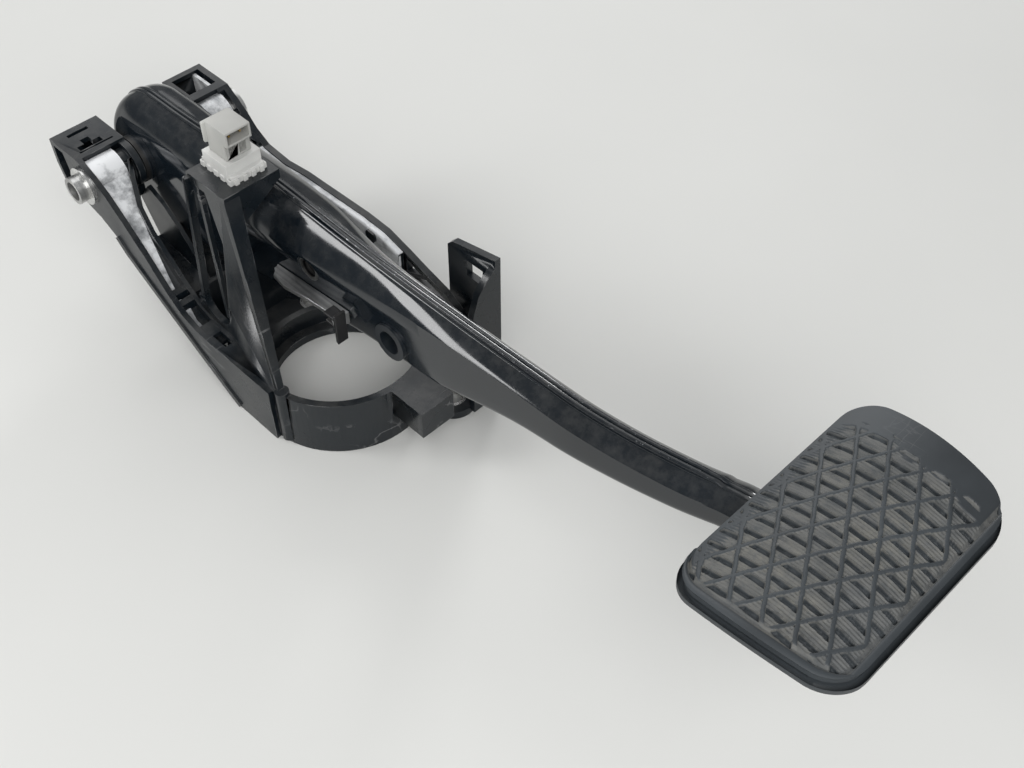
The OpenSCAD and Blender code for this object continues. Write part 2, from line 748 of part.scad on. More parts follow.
// Windows and slots in the tops of both caps, and the hooked opening beside the left tube
module cap_windows() {
    top = cap_h - cap_wall - 1;
    deep = cap_wall + 2;
    wide = arm_right - frame_w - cheek_in - rim_t + 3;
    // Left cap: a T window, a slot and a groove across
    translate([pivot_x - 9.5, -arm_out + 5, top]) {
        cube([3, 11, deep]);
        translate([-3.5, 3.5, 0])
            cube([4, 4, deep]);
    }
    translate([pivot_x - 19.5, -arm_out + 6, top])
        cube([2, 10, deep]);
    translate([cap_front - 4, -arm_out + 4, cap_h - 0.8])
        cube([1, 16, 1]);
    // Right cap: a window in the top and one in the front, with a bar between them
    translate([pivot_x - 20, cheek_in + rim_t, top])
        cube([13.5, wide, deep]);
    translate([cap_front + 1.5, cheek_in + rim_t, pivot_h + 3])
        cube([20, wide, cap_h]);
    // Hooked opening in the left cap's outer wall
    side_slab(-arm_out - 1, strip_y + 1)
        difference() {
            offset(delta = -cap_wall)
                polygon([[pivot_x - 6, pivot_h - 10], [pivot_x - 19, pivot_h - 8], [pivot_x - 22, pivot_h],
                    [pivot_x - 23, cap_h], [pivot_x - 12, cap_h]]);
            pivot_disc(eye_r - 1);
        }
}

// The tower that carries the switch: a platform on a spreading column and two ribs
module switch_tower() {
    x0 = deck_mid_x - deck_x / 2;
    x1 = deck_mid_x + deck_x / 2;
    y0 = deck_mid_y - deck_y / 2;
    y1 = deck_mid_y + deck_y / 2;
    foot = channel_y - 1;
    column_w = 7;
    translate([x0, y0, deck_h - deck_t])
        cube([deck_x, deck_y, deck_t]);
    // Front column, spreading down to the ring
    hull() {
        translate([x1 - rim_t, y0, deck_h - 8])
            cube([rim_t, column_w, 6]);
        translate([-33, foot, ring_h])
            cube([rim_t, rim_t, rim_t]);
        translate([5, -ring_r + 0.5, ring_h - 4])
            cube([rim_t, rim_t, 4]);
    }
    // Gusset under the platform's front edge
    translate([x1 - rim_t, 0, 0])
        rotate([90, 0, 90])
            linear_extrude(rim_t)
                polygon([[y0, deck_h - 2], [y1, deck_h - 2], [y1, deck_h - deck_t], [y0 + column_w, deck_h - 16],
                    [y0, deck_h - 16]]);
    // Gusset beside the column, the rear rib and the slim rib beside it
    side_slab(y0, y0 + rib_t)
        polygon([[x1 - 13, deck_h - deck_t], [x1 - 1, deck_h - deck_t], [x1 - 3, deck_h - 45]]);
    side_slab(foot + 0.5, y0 + 0.5)
        rib([x0 + 2, deck_h - 1], [-51, ring_h + 4], rib_t);
    side_slab(y0, y0 + rib_t)
        rib([x0 + 6, deck_h - 2], [-38, ring_h + 4], rib_t);
    // Rounded foot between the rear rib and the column
    side_slab(foot, foot + rim_t)
        difference() {
            polygon([[-54, ring_h], [-52.5, ring_h + 11], [-49, ring_h + 11], [-29, ring_h + 17], [-24, ring_h]]);
            translate([-40, ring_h + 12])
                circle(9);
            translate([-49, ring_h + 12])
                square([18, 20]);
        }
}

module tab() {
    difference() {
        side_slab(arm_out, arm_out + rim_t)
            polygon([[26, 2], [26, 72], [29, 75], [53, 80], [53, 2]]);
        translate([37, arm_out - 1, 62])
            cube([9, rim_t + 2, 8]);
    }
    translate([53 - rim_t, 0, 0])
        rotate([90, 0, 90])
            linear_extrude(rim_t)
                polygon([[arm_out + rim_t, 2], [arm_out + rim_t, 78], [arm_out - 4, 73], [arm_out - 9, 67],
                    [arm_out - 12, 58], [arm_out - 13, 46], [arm_out - 13, 2]]);
}

module insert_left() {
    color([0.72, 0.73, 0.74])
        insert_left_space();
}

module insert_right() {
    color([0.72, 0.73, 0.74])
        difference() {
            insert_right_space();
            at_pivot()
                bar(tube_d, 0, arm_out + 5);
        }
}

module base_sleeves() {
    color([0.6, 0.6, 0.58])
        stud_places()
            difference() {
                cylinder(d = stud_d + 2 * sleeve_wall, h = flange_t);
                translate([0, 0, -1])
                    cylinder(d = stud_d, h = flange_t + 2);
            }
}

module pivot_tube() {
    color([0.62, 0.62, 0.6])
        at_pivot()
            pipe(tube_d, tube_bore, tube_left, tube_right);
}

module tube_washers() {
    color([0.66, 0.66, 0.64])
        at_pivot() {
            pipe(tube_d + 5, tube_d, -arm_out - 1.5, -arm_out);
            pipe(tube_d + 5, tube_d, arm_right, tube_right);
        }
}

module at_switch(h) {
    translate([switch_mid_x, switch_mid_y, h])
        children();
}

// A box centred on the switch's axis
module block(x, y, h) {
    translate([-x / 2, -y / 2, 0])
        cube([x, y, h]);
}

// The collar, with teeth round its skirt
module switch_collar() {
    color([0.86, 0.86, 0.84])
        at_switch(deck_h)
            difference() {
                union() {
                    block(collar_x - 2, collar_y - 2, skirt_h);
                    block(collar_x - 6, collar_y - 1, collar_h);
                    for (k = [-2 : 2])
                        translate([k * collar_x / 5, 0, 0])
                            block(collar_x / 9, collar_y, skirt_h - 1);
                    for (k = [-1.5 : 1.5])
                        translate([0, k * collar_y / 4.4, 0])
                            block(collar_x, collar_y / 9, skirt_h - 1);
                }
                translate([0, 0, -1])
                    cylinder(d = barrel_d, h = collar_h + 2);
            }
}

module switch_barrel() {
    color([0.8, 0.8, 0.78])
        at_switch(0)
            difference() {
                translate([0, 0, deck_h - deck_t - 1])
                    cylinder(d = barrel_d, h = collar_h + deck_t + 1);
                translate([0, 0, deck_h - deck_t - 2])
                    cylinder(d = plunger_d + 2 * plunger_fit, h = plunger_tip + plunger_len + 3 - deck_h + deck_t);
            }
}

// The connector housing: a hood with a socket in front, windows under it and a flange behind
module switch_housing() {
    color([0.66, 0.66, 0.63])
        at_switch(deck_h + collar_h)
            difference() {
                union() {
                    block(plug_x, plug_y, plug_h);
                    translate([-plug_x / 2 - 1.5, -plug_y / 2 - 1, plug_h - 10])
                        cube([1.5, plug_y + 1, 9]);
                    translate([plug_x / 2, -plug_y / 2, plug_h - socket_h - 2])
                        cube([2, plug_y, socket_h + 2]);
                }
                translate([-1, -plug_y / 2 + 1, plug_h - socket_h - 1])
                    cube([plug_x, plug_y - 2, socket_h]);
                for (side = [-1, 1])
                    translate([plug_x / 2 - 3, side * plug_y / 5 - plug_y / 8, 1])
                        cube([4, plug_y / 4, 4.5]);
            }
}

module switch_terminals() {
    color([0.75, 0.62, 0.3])
        at_switch(deck_h + collar_h)
            for (k = [-1, 1])
                translate([-1, k * 2.5 - 0.4, plug_h - socket_h / 2 - 1.8])
                    cube([6, 0.8, 1.6]);
}

module switch_plunger() {
    color([0.9, 0.9, 0.88])
        at_switch(0)
            translate([0, 0, plunger_tip])
                cylinder(d = plunger_d, h = plunger_len);
}

bracket_moulding();
insert_left();
insert_right();
base_sleeves();
pivot_tube();
tube_washers();
switch_collar();
switch_barrel();
switch_housing();
switch_terminals();
switch_plunger();
shell_left();
shell_right();
hub_sleeve();
hub_bush_left();
hub_bush_right();
spacer_tube();
eye_bush();
clip_tongue();
pin_clip();
contact_plate();
pad_plate();
pad_rubber();
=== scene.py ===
"""Looks of a hanging brake pedal in its moulded pedal bracket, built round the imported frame.

Every length in a class is in millimetres and is turned into metres when a mesh is made.
"""

import logging
from dataclasses import dataclass
from enum import Enum
from functools import cache
from typing import Callable, Sequence

import bmesh
import bpy
import numpy as np
from mathutils import Matrix, Vector


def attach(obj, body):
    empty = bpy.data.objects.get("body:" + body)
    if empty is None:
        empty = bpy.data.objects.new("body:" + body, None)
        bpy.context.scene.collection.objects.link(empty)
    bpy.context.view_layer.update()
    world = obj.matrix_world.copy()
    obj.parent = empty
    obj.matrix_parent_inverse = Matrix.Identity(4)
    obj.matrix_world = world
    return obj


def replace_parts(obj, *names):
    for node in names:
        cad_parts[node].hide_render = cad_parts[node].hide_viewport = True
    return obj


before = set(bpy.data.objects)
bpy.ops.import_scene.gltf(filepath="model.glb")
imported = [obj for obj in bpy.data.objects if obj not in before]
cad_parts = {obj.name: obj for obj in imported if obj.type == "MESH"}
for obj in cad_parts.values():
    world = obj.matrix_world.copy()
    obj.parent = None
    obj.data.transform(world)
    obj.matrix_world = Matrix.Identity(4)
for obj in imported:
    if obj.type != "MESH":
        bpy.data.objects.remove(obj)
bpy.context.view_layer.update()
MM = 0.001
SAME_POINT = 0.002  # millimetres within which points of a CAD mesh are one
DOUBLED = 0.01  # millimetres within which points of a built mesh are one
FLAT_BEND = 0.6  # degrees within which faces of a CAD mesh are one
SMOOTH_BEND = 30.0  # degrees up to which a copy's edges are shaded smooth
ROUND_BEND = 32.0  # degrees over which a copy's edges are rounded
log = logging.getLogger("brake_pedal")

Colour = tuple[float, float, float]
Points = Sequence[tuple[float, float]]
PALE_DUST: Colour = (0.36, 0.34, 0.31)


def smoothstep(low: float, high: float, v: np.ndarray) -> np.ndarray:
    """A soft step, 3t^2 - 2t^3 between low and high.

    Args:
        low: Value at which the step starts from 0.
        high: Value at which it has reached 1.
        v: The values to step.

    Returns:
        The step's height at each value.
    """
    t = np.clip((v - low) / (high - low), 0.0, 1.0)
    return t * t * (3.0 - 2.0 * t)


def table_curve(table: Points, x: np.ndarray) -> np.ndarray:
    """A cubic Hermite curve through a table, with chord slopes over each point's neighbours.

    Args:
        table: Pairs of place and value, with rising places.
        x: Places to read.

    Returns:
        The curve's value at each place.
    """
    places, values = (np.array(c, float) for c in zip(*table))
    n = len(places)
    before, after = np.maximum(np.arange(n) - 1, 0), np.minimum(np.arange(n) + 1, n - 1)
    slopes = (values[after] - values[before]) / (places[after] - places[before])
    k = np.clip(np.searchsorted(places, x, side="right") - 1, 0, n - 2)
    step = places[k + 1] - places[k]
    s = np.clip((x - places[k]) / step, 0.0, 1.0)
    rise = values[k + 1] - values[k]
    m0, m1 = slopes[k] * step, slopes[k + 1] * step
    return values[k] + s * m0 + s**2 * (3 * rise - 2 * m0 - m1) + s**3 * (m0 + m1 - 2 * rise)


def make_object(name: str, points: np.ndarray, *faces: np.ndarray) -> bpy.types.Object:
    """Puts vertices and faces into a new mesh object at the origin.

    Args:
        name: The piece's name.
        points: Vertices in millimetres, one row each.
        *faces: Corner numbers, one row a face, in one array for each count of corners.

    Returns:
        The linked object.
    """
    mesh = bpy.data.meshes.new(name)
    mesh.vertices.add(len(points))
    mesh.vertices.foreach_set("co", (points * MM).astype(np.float32).ravel())
    corners = np.concatenate([f.ravel() for f in faces]).astype(np.int32)
    counts = np.concatenate([np.full(len(f), f.shape[1]) for f in faces]).astype(np.int32)
    mesh.loops.add(len(corners))
    mesh.loops.foreach_set("vertex_index", corners)
    mesh.polygons.add(len(counts))
    mesh.polygons.foreach_set("loop_start", (np.cumsum(counts) - counts).astype(np.int32))
    mesh.polygons.foreach_set("loop_total", counts)
    mesh.update(calc_edges=True)
    mesh.validate()
    piece = bpy.data.objects.new(name, mesh)
    bpy.context.scene.collection.objects.link(piece)
    return piece


def grid_faces(rows: int, columns: int, around: bool = False) -> np.ndarray:
    """Quads of a grid of points.

    Args:
        rows: Number of rows of points.
        columns: Number of points in a row.
        around: Whether the last column joins the first.

    Returns:
        One row of four corner numbers for each quad.
    """
    across = np.arange(columns if around else columns - 1)
    i, j = np.meshgrid(np.arange(rows - 1), across, indexing="ij")
    near, far, nxt = i * columns, (i + 1) * columns, (j + 1) % columns
    return np.stack([near + j, near + nxt, far + nxt, far + j], -1).reshape(-1, 4)


def add_attribute(piece: bpy.types.Object, name: str, values: np.ndarray) -> None:
    """Writes one float for each vertex, for the piece's material to read."""
    layer = piece.data.attributes.new(name, "FLOAT", "POINT")
    layer.data.foreach_set("value", values.astype(np.float32).ravel())


def tidy_shell(piece: bpy.types.Object) -> None:
    """Merges a closed mesh's doubled points and turns every face outwards."""
    work = bmesh.new()
    work.from_mesh(piece.data)
    bmesh.ops.remove_doubles(work, verts=work.verts, dist=DOUBLED * MM)
    bmesh.ops.recalc_face_normals(work, faces=work.faces)
    work.to_mesh(piece.data)
    work.free()


def shade(piece: bpy.types.Object, degrees: float) -> None:
    """Smooths every edge of a mesh that bends less than some degrees."""
    faces = piece.data.polygons
    faces.foreach_set("use_smooth", np.ones(len(faces), dtype=bool))
    piece.data.set_sharp_from_angle(angle=np.radians(degrees))


def cut_with(piece: bpy.types.Object, cutter: bpy.types.Object) -> None:
    """Takes a closed cutter out of a piece, then throws the cutter away."""
    cut = piece.modifiers.new("Cut", "BOOLEAN")
    cut.object, cut.operation, cut.solver = cutter, "DIFFERENCE", "EXACT"
    with bpy.context.temp_override(object=piece, active_object=piece):
        bpy.ops.object.modifier_apply(modifier=cut.name)
    bpy.data.objects.remove(cutter)


def cad_copy(node: str, name: str, round_edge: float,
             change: Callable[[bpy.types.Object], None] | None = None) -> bpy.types.Object:
    """A merged copy of a CAD node whose sharp edges get a small radius.

    Args:
        node: The CAD node.
        name: The new piece's name.
        round_edge: Radius of the edges in millimetres.
        change: What else is done to the merged copy before its edges are rounded.

    Returns:
        The copy, which stands for the node.
    """
    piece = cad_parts[node].copy()
    piece.data = piece.data.copy()
    piece.name = piece.data.name = name
    for key in list(piece.keys()):
        del piece[key]
    piece.parent = None
    piece.matrix_world = Matrix.Identity(4)
    bpy.context.scene.collection.objects.link(piece)
    work = bmesh.new()
    work.from_mesh(piece.data)
    bmesh.ops.remove_doubles(work, verts=work.verts, dist=SAME_POINT * MM)
    bmesh.ops.dissolve_limit(work, angle_limit=np.radians(FLAT_BEND), verts=work.verts,
                             edges=work.edges)
    work.to_mesh(piece.data)
    work.free()
    piece.data.materials.clear()
    if change:
        change(piece)
    shade(piece, SMOOTH_BEND)
    bevel = piece.modifiers.new("Edge radius", "BEVEL")
    bevel.width = round_edge * MM
    bevel.segments = 2
    bevel.limit_method = "ANGLE"
    bevel.angle_limit = np.radians(ROUND_BEND)
    bevel.use_clamp_overlap = True
    bevel.harden_normals = True
    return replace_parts(piece, node)


def scaled(colour: Colour, factor: float) -> Colour:
    """A colour made darker or lighter."""
    return tuple(c * factor for c in colour)


class Sheet:
    """A node tree with short calls for adding nodes and joining them."""

    def __init__(self, tree: bpy.types.NodeTree) -> None:
        """Keeps the tree, which holds the nodes that are added."""
        self.tree = tree

    def add(self, kind: str, inputs: dict | None = None, **settings) -> bpy.types.Node:
        """Adds a node.

        Args:
            kind: The node's type without its "ShaderNode" prefix.
            inputs: Socket names or numbers, each with a value or an output to join.
            **settings: Properties of the node.

        Returns:
            The new node.
        """
        node = self.tree.nodes.new("ShaderNode" + kind)
        for key, value in settings.items():
            setattr(node, key, value)
        self.feed(node, inputs or {})
        return node

    def feed(self, node: bpy.types.Node, inputs: dict) -> None:
        """Joins an output to each named socket of a node, or sets a plain value on it."""
        for key, value in inputs.items():
            if isinstance(value, bpy.types.NodeSocket):
                self.tree.links.new(value, node.inputs[key])
            else:
                node.inputs[key].default_value = value

    def math(self, operation: str, a, b=0.0, c=0.0) -> bpy.types.NodeSocket:
        """A Math node's result for up to three numbers or outputs."""
        return self.add("Math", {0: a, 1: b, 2: c}, operation=operation).outputs[0]

    def times(self, a, b) -> bpy.types.NodeSocket:
        """The product of two numbers or outputs."""
        return self.math("MULTIPLY", a, b)

    def spread(self, value, low: float, high: float, to_low: float = 0.0, to_high: float = 1.0):
        """A Map Range node's result, held between its ends."""
        return self.add("MapRange", {"Value": value, "From Min": low, "From Max": high,
                                     "To Min": to_low, "To Max": to_high}).outputs["Result"]

    def tint(self, factor, a, b) -> bpy.types.NodeSocket:
        """A mix of two colours, each a tuple or an output."""
        node = self.add("Mix", data_type="RGBA")
        ends = [c if isinstance(c, bpy.types.NodeSocket) else (*c, 1.0) for c in (a, b)]
        self.feed(node, {0: factor, 6: ends[0], 7: ends[1]})
        return node.outputs[2]

    def places(self, scale: Sequence[float] = (1, 1, 1)) -> bpy.types.NodeSocket:
        """Object coordinates, stretched along the axes."""
        where = self.add("TexCoord").outputs["Object"]
        return self.add("Mapping", {"Vector": where, "Scale": scale}).outputs[0]

    def noise(self, scale, detail: float = 3.0, where=None, rough: float = 0.5):
        """Fractal noise over the piece, from 0 to 1."""
        where = where or self.places()
        return self.add("TexNoise", {"Vector": where, "Scale": scale, "Detail": detail,
                                     "Roughness": rough}).outputs["Fac"]

    def patches(self, noise, amount, width: float) -> bpy.types.NodeSocket:
        """A mask of the patches where a noise and an amount together pass 1."""
        gate = self.math("SUBTRACT", self.math("ADD", noise, amount), 1.0)
        return self.spread(gate, -0.05, width)

    def bump(self, height, strength: float, distance: float) -> bpy.types.NodeSocket:
        """A normal from a height in millimetres of depth."""
        return self.add("Bump", {"Height": height, "Strength": strength,
                                 "Distance": distance * MM}).outputs[0]


class Effects:
    """Shader node groups that several finishes share, each built once."""

    @staticmethod
    def _new(name: str, inputs: dict[str, float],
             output: str) -> tuple[Sheet, dict, bpy.types.Node]:
        """Starts a group with float inputs and one float output."""
        tree = bpy.data.node_groups.new(name, "ShaderNodeTree")
        for key, value in inputs.items():
            socket = tree.interface.new_socket(key, in_out="INPUT", socket_type="NodeSocketFloat")
            socket.default_value = value
        tree.interface.new_socket(output, in_out="OUTPUT", socket_type="NodeSocketFloat")
        given = tree.nodes.new("NodeGroupInput")
        result = tree.nodes.new("NodeGroupOutput")
        return Sheet(tree), {key: given.outputs[key] for key in inputs}, result

    @staticmethod
    @cache
    def edge_wear() -> bpy.types.NodeTree:
        """Where sharp edges are rubbed bare: a rounded normal leaves the face's own, in patches."""
        s, given, out = Effects._new(
            "Edge wear", {"Radius": 0.0006, "Patch scale": 90.0, "Amount": 0.5}, "Mask")
        soft = s.add("Bevel", {"Radius": given["Radius"]}, samples=6).outputs[0]
        own = s.add("NewGeometry").outputs["Normal"]
        bend = s.add("VectorMath", {0: soft, 1: own}, operation="DOT_PRODUCT").outputs["Value"]
        kept = s.patches(s.noise(given["Patch scale"], 5.0), given["Amount"], 0.12)
        s.feed(out, {0: s.times(s.spread(bend, 0.995, 0.86), kept)})
        return s.tree

    @staticmethod
    @cache
    def scratches() -> bpy.types.NodeTree:
        """Fine crossing scratches: thin bands of two long stretched noises, kept in patches."""
        s, given, out = Effects._new("Scratches", {"Scale": 60.0, "Amount": 0.5}, "Mask")
        lines = []
        for stretch in ((0.08, 1.0, 0.7), (1.0, 0.12, 0.8)):
            n = s.noise(given["Scale"], 6.0, s.places(stretch))
            band = s.math("ABSOLUTE", s.math("SUBTRACT", n, 0.5))
            lines.append(s.spread(band, 0.012, 0.0))
        kept = s.patches(s.noise(38.0, 2.0), given["Amount"], 0.15)
        s.feed(out, {0: s.times(s.math("MAXIMUM", *lines), kept)})
        return s.tree

    @staticmethod
    @cache
    def dust() -> bpy.types.NodeTree:
        """Dust on what faces up: the normal's rise, broken by fine noise."""
        s, given, out = Effects._new("Dust", {"Amount": 0.3, "Scale": 70.0}, "Mask")
        up = s.add("SeparateXYZ", {0: s.add("NewGeometry").outputs["Normal"]}).outputs["Z"]
        n = s.noise(given["Scale"], 8.0, rough=0.7)
        mask = s.times(s.spread(up, 0.1, 0.95), s.spread(n, 0.42, 0.75))
        s.feed(out, {0: s.times(mask, given["Amount"])})
        return s.tree

    @staticmethod
    @cache
    def grain() -> bpy.types.NodeTree:
        """The fine grain of a moulded or sprayed skin: noise of two sizes added together."""
        s, given, out = Effects._new("Skin grain", {"Scale": 900.0, "Coarse": 0.3}, "Height")
        fine, wide = s.noise(given["Scale"], 3.0), s.noise(140.0, 2.0)
        s.feed(out, {0: s.math("MULTIPLY_ADD", wide, given["Coarse"], fine)})
        return s.tree


def use_group(s: Sheet, tree: bpy.types.NodeTree, **inputs) -> bpy.types.NodeSocket:
    """Places a shared group in a material and returns its output."""
    node = s.add("Group", node_tree=tree)
    s.feed(node, inputs)
    return node.outputs[0]


def new_material(name: str) -> tuple[bpy.types.Material, Sheet, bpy.types.Node]:
    """Starts a material with one Principled shader."""
    material = bpy.data.materials.new(name)
    material.use_nodes = True
    return material, Sheet(material.node_tree), material.node_tree.nodes["Principled BSDF"]


@dataclass(frozen=True)
class MouldedPlastic:
    """Moulded plastic: fine grain, uneven sheen, rubbed edges, scratches and dust."""

    name: str
    colour: Colour
    rough: float = 0.42
    worn: Colour = (0.28, 0.28, 0.28)
    wear: float = 0.3
    scratch: float = 0.3
    dust: float = 0.12
    grain: float = 0.35

    def build(self) -> bpy.types.Material:
        """Makes the material."""
        material, s, skin = new_material(self.name)
        cloud = s.spread(s.noise(22, 4), 0.35, 0.7)
        body = s.tint(cloud, scaled(self.colour, 0.75), scaled(self.colour, 1.2))
        marks = s.math("MAXIMUM", use_group(s, Effects.edge_wear(), Amount=self.wear),
                       use_group(s, Effects.scratches(), Amount=self.scratch))
        body = s.tint(s.times(marks, 0.75), body, self.worn)
        body = s.tint(use_group(s, Effects.dust(), Amount=self.dust), body, PALE_DUST)
        rough = s.spread(s.noise(48, 6), 0.3, 0.72, self.rough - 0.09, self.rough + 0.11)
        s.feed(skin, {
            "Base Color": body, "Roughness": s.math("MULTIPLY_ADD", marks, 0.2, rough), "IOR": 1.48,
            "Normal": s.bump(use_group(s, Effects.grain()), self.grain, 0.03)})
        return material


@dataclass(frozen=True)
class DippedPaint:
    """Black dip paint: a slightly wavy skin, bright bare metal on the seam that is partly wear and
    partly a painted glint, fine dust.
    """

    name: str
    colour: Colour = (0.006, 0.0088, 0.012)
    rough: float = 0.08
    seam_wear_and_glint: bool = False

    def build(self) -> bpy.types.Material:
        """Makes the material."""
        material, s, skin = new_material(self.name)
        cloud = s.spread(s.noise(16, 5), 0.3, 0.7)
        body = s.tint(cloud, scaled(self.colour, 0.8), scaled(self.colour, 1.35))
        dust = use_group(s, Effects.dust(), Amount=0.1, Scale=160.0)
        body = s.tint(dust, body, (0.3, 0.29, 0.27))
        marks = use_group(s, Effects.scratches(), Amount=0.12, Scale=110.0)
        body = s.tint(s.times(marks, 0.35), body, (0.3, 0.3, 0.3))
        # Light grey bare metal along the seam's ridges: partly wear, and partly a painted glint
        # that stands in for the lamps' highlights.
        if self.seam_wear_and_glint:
            ridge = s.add("Attribute", attribute_name="seam_edge").outputs["Fac"]
            broken = s.spread(s.noise(620, 4, rough=0.6), 0.6, 0.7)
            bare_and_glint = s.times(s.spread(ridge, 0.6, 1.0), broken)
            body = s.tint(bare_and_glint, body, (0.5, 0.51, 0.53))
            s.feed(skin, {"Metallic": s.times(bare_and_glint, 0.4)})
        skin_grain = use_group(s, Effects.grain(), Scale=420.0, Coarse=1.4)
        s.feed(skin, {
            "Base Color": body, "Normal": s.bump(skin_grain, 0.14, 0.03), "IOR": 1.5,
            "Roughness": s.spread(s.noise(34, 5), 0.3, 0.72, self.rough - 0.04, self.rough + 0.09)})
        return material


@dataclass(frozen=True)
class StreakedSteel:
    """Bright pressed sheet with milky streaks left by the moulding and grey stains."""

    name: str
    bright: Colour = (0.78, 0.79, 0.8)
    stain: Colour = (0.3, 0.31, 0.32)

    def build(self) -> bpy.types.Material:
        """Makes the material."""
        material, s, skin = new_material(self.name)
        cloud = s.noise(48, 7, s.places((1.0, 1.0, 1.8)), 0.66)
        streak = s.noise(130, 8, s.places((0.5, 1.0, 1.4)), 0.72)
        mixed = s.math("MULTIPLY_ADD", streak, 0.5, s.times(cloud, 0.75))
        mixed = s.spread(mixed, 0.53, 0.68)
        s.feed(skin, {
            "Base Color": s.tint(mixed, self.stain, self.bright),
            "Metallic": s.spread(mixed, 0, 1, 0.7, 0.15),
            "Roughness": s.spread(streak, 0.3, 0.7, 0.3, 0.55),
            "Normal": s.bump(s.math("ADD", streak, s.noise(500, 3)), 0.3, 0.05)})
        return material


@dataclass(frozen=True)
class TurnedMetal:
    """Turned or drawn metal: rings round the pivot's axis, dull stains and a bright skin."""

    name: str
    colour: Colour = (0.56, 0.56, 0.55)
    rough: float = 0.3

    def build(self) -> bpy.types.Material:
        """Makes the material."""
        material, s, skin = new_material(self.name)
        rings = s.noise(900, 2, s.places((0.03, 1.0, 0.03)))
        stain = s.spread(s.noise(95, 6, rough=0.65), 0.4, 0.7)
        body = s.tint(stain, self.colour, scaled(self.colour, 0.55))
        s.feed(skin, {
            "Base Color": s.tint(s.spread(rings, 0.4, 0.6, 0.0, 0.3), body, (0.8, 0.8, 0.78)),
            "Roughness": s.spread(stain, 0, 1, self.rough - 0.05, self.rough + 0.2),
            "Normal": s.bump(rings, 0.25, 0.02), "Metallic": 0.95})
        return material


@dataclass(frozen=True)
class TreadRubber:
    """Filled rubber: dull skin, polished tops, painted sheen streaks on the bars, and pale brown
    dust in the tread's cells.
    """

    name: str
    colour: Colour = (0.030, 0.0355, 0.040)

    def build(self) -> bpy.types.Material:
        """Makes the material."""
        material, s, skin = new_material(self.name)
        depth = s.add("Attribute", attribute_name="cell_depth").outputs["Fac"]
        cloud = s.spread(s.noise(40, 6), 0.3, 0.7)
        body = s.tint(cloud, scaled(self.colour, 0.75), scaled(self.colour, 1.3))
        lines = s.noise(420, 5, s.places((0.12, 1.0, 1.0)), 0.7)
        on_bar = s.times(s.spread(depth, 0.08, 0.16), s.spread(depth, 0.62, 0.4))
        # Painted sheen: lighter grey streaks along the bars stand in for highlights on them.
        painted_bar_sheen = s.times(s.spread(lines, 0.36, 0.6, 0.25, 1.0), on_bar)
        body = s.tint(s.times(painted_bar_sheen, 0.8), body, (0.12, 0.121, 0.117))
        patch = s.times(on_bar, s.spread(s.noise(28, 4), 0.42, 0.66))
        film = s.times(patch, s.spread(s.noise(320, 6, rough=0.7), 0.35, 0.7))
        body = s.tint(s.times(film, 0.5), body, (0.22, 0.205, 0.165))
        marks = use_group(s, Effects.scratches(), Amount=0.35, Scale=140.0)
        body = s.tint(s.times(marks, 0.25), body, (0.2, 0.2, 0.2))
        on_line = s.spread(depth, 0.1, 0.4, 0.0, 1.5)
        height = s.math("MULTIPLY_ADD", lines, on_line, use_group(s, Effects.grain()))
        s.feed(skin, {
            "Base Color": body, "Normal": s.bump(height, 0.45, 0.05),
            "Roughness": s.math("MULTIPLY_ADD", cloud, 0.08, s.spread(depth, 0.0, 0.3, 0.5, 0.62))})
        return material


class Finish(Enum):
    """The finishes of the pedal and its bracket."""

    MOULDING = MouldedPlastic("Black moulding", (0.006, 0.009, 0.012), 0.3, wear=0.42, scratch=0.34)
    PAINT = DippedPaint("Black dip paint", seam_wear_and_glint=True)
    PLAIN_PAINT = DippedPaint("Black dip paint plain", rough=0.34)
    INSERT = StreakedSteel("Streaked insert steel")
    TUBE = TurnedMetal("Drawn tube steel")
    DULL = TurnedMetal("Dull dark steel", (0.03, 0.03, 0.032), 0.3)
    STAMPED = TurnedMetal("Stamped steel", (0.4, 0.405, 0.41), 0.42)
    WASHER = TurnedMetal("Bright washer steel", (0.7, 0.7, 0.69), 0.26)
    BRASS = TurnedMetal("Terminal brass", (0.62, 0.42, 0.16), 0.28)
    WHITE = MouldedPlastic("White switch plastic", (0.62, 0.62, 0.6), 0.45, (0.75, 0.75, 0.73),
                           wear=0.2, scratch=0.15, dust=0.3)
    GREY = MouldedPlastic("Grey switch plastic", (0.4, 0.4, 0.38), 0.42, (0.62, 0.62, 0.6),
                          wear=0.3, scratch=0.2, dust=0.3)
    BUSH = MouldedPlastic("Bush plastic", (0.014, 0.014, 0.014), 0.4)
    CLIP = MouldedPlastic("Clip plastic", (0.011, 0.011, 0.012), 0.34)
    RUBBER = TreadRubber("Tread rubber")

    def material(self) -> bpy.types.Material:
        """The finish's material, built at its first use."""
        return bpy.data.materials.get(self.value.name) or self.value.build()

    def put_on(self, *pieces: bpy.types.Object) -> None:
        """Gives the finish to every slot of some pieces."""
        for piece in pieces:
            if not piece.data.materials:
                piece.data.materials.append(self.material())
            for slot in piece.material_slots:
                slot.material = self.material()


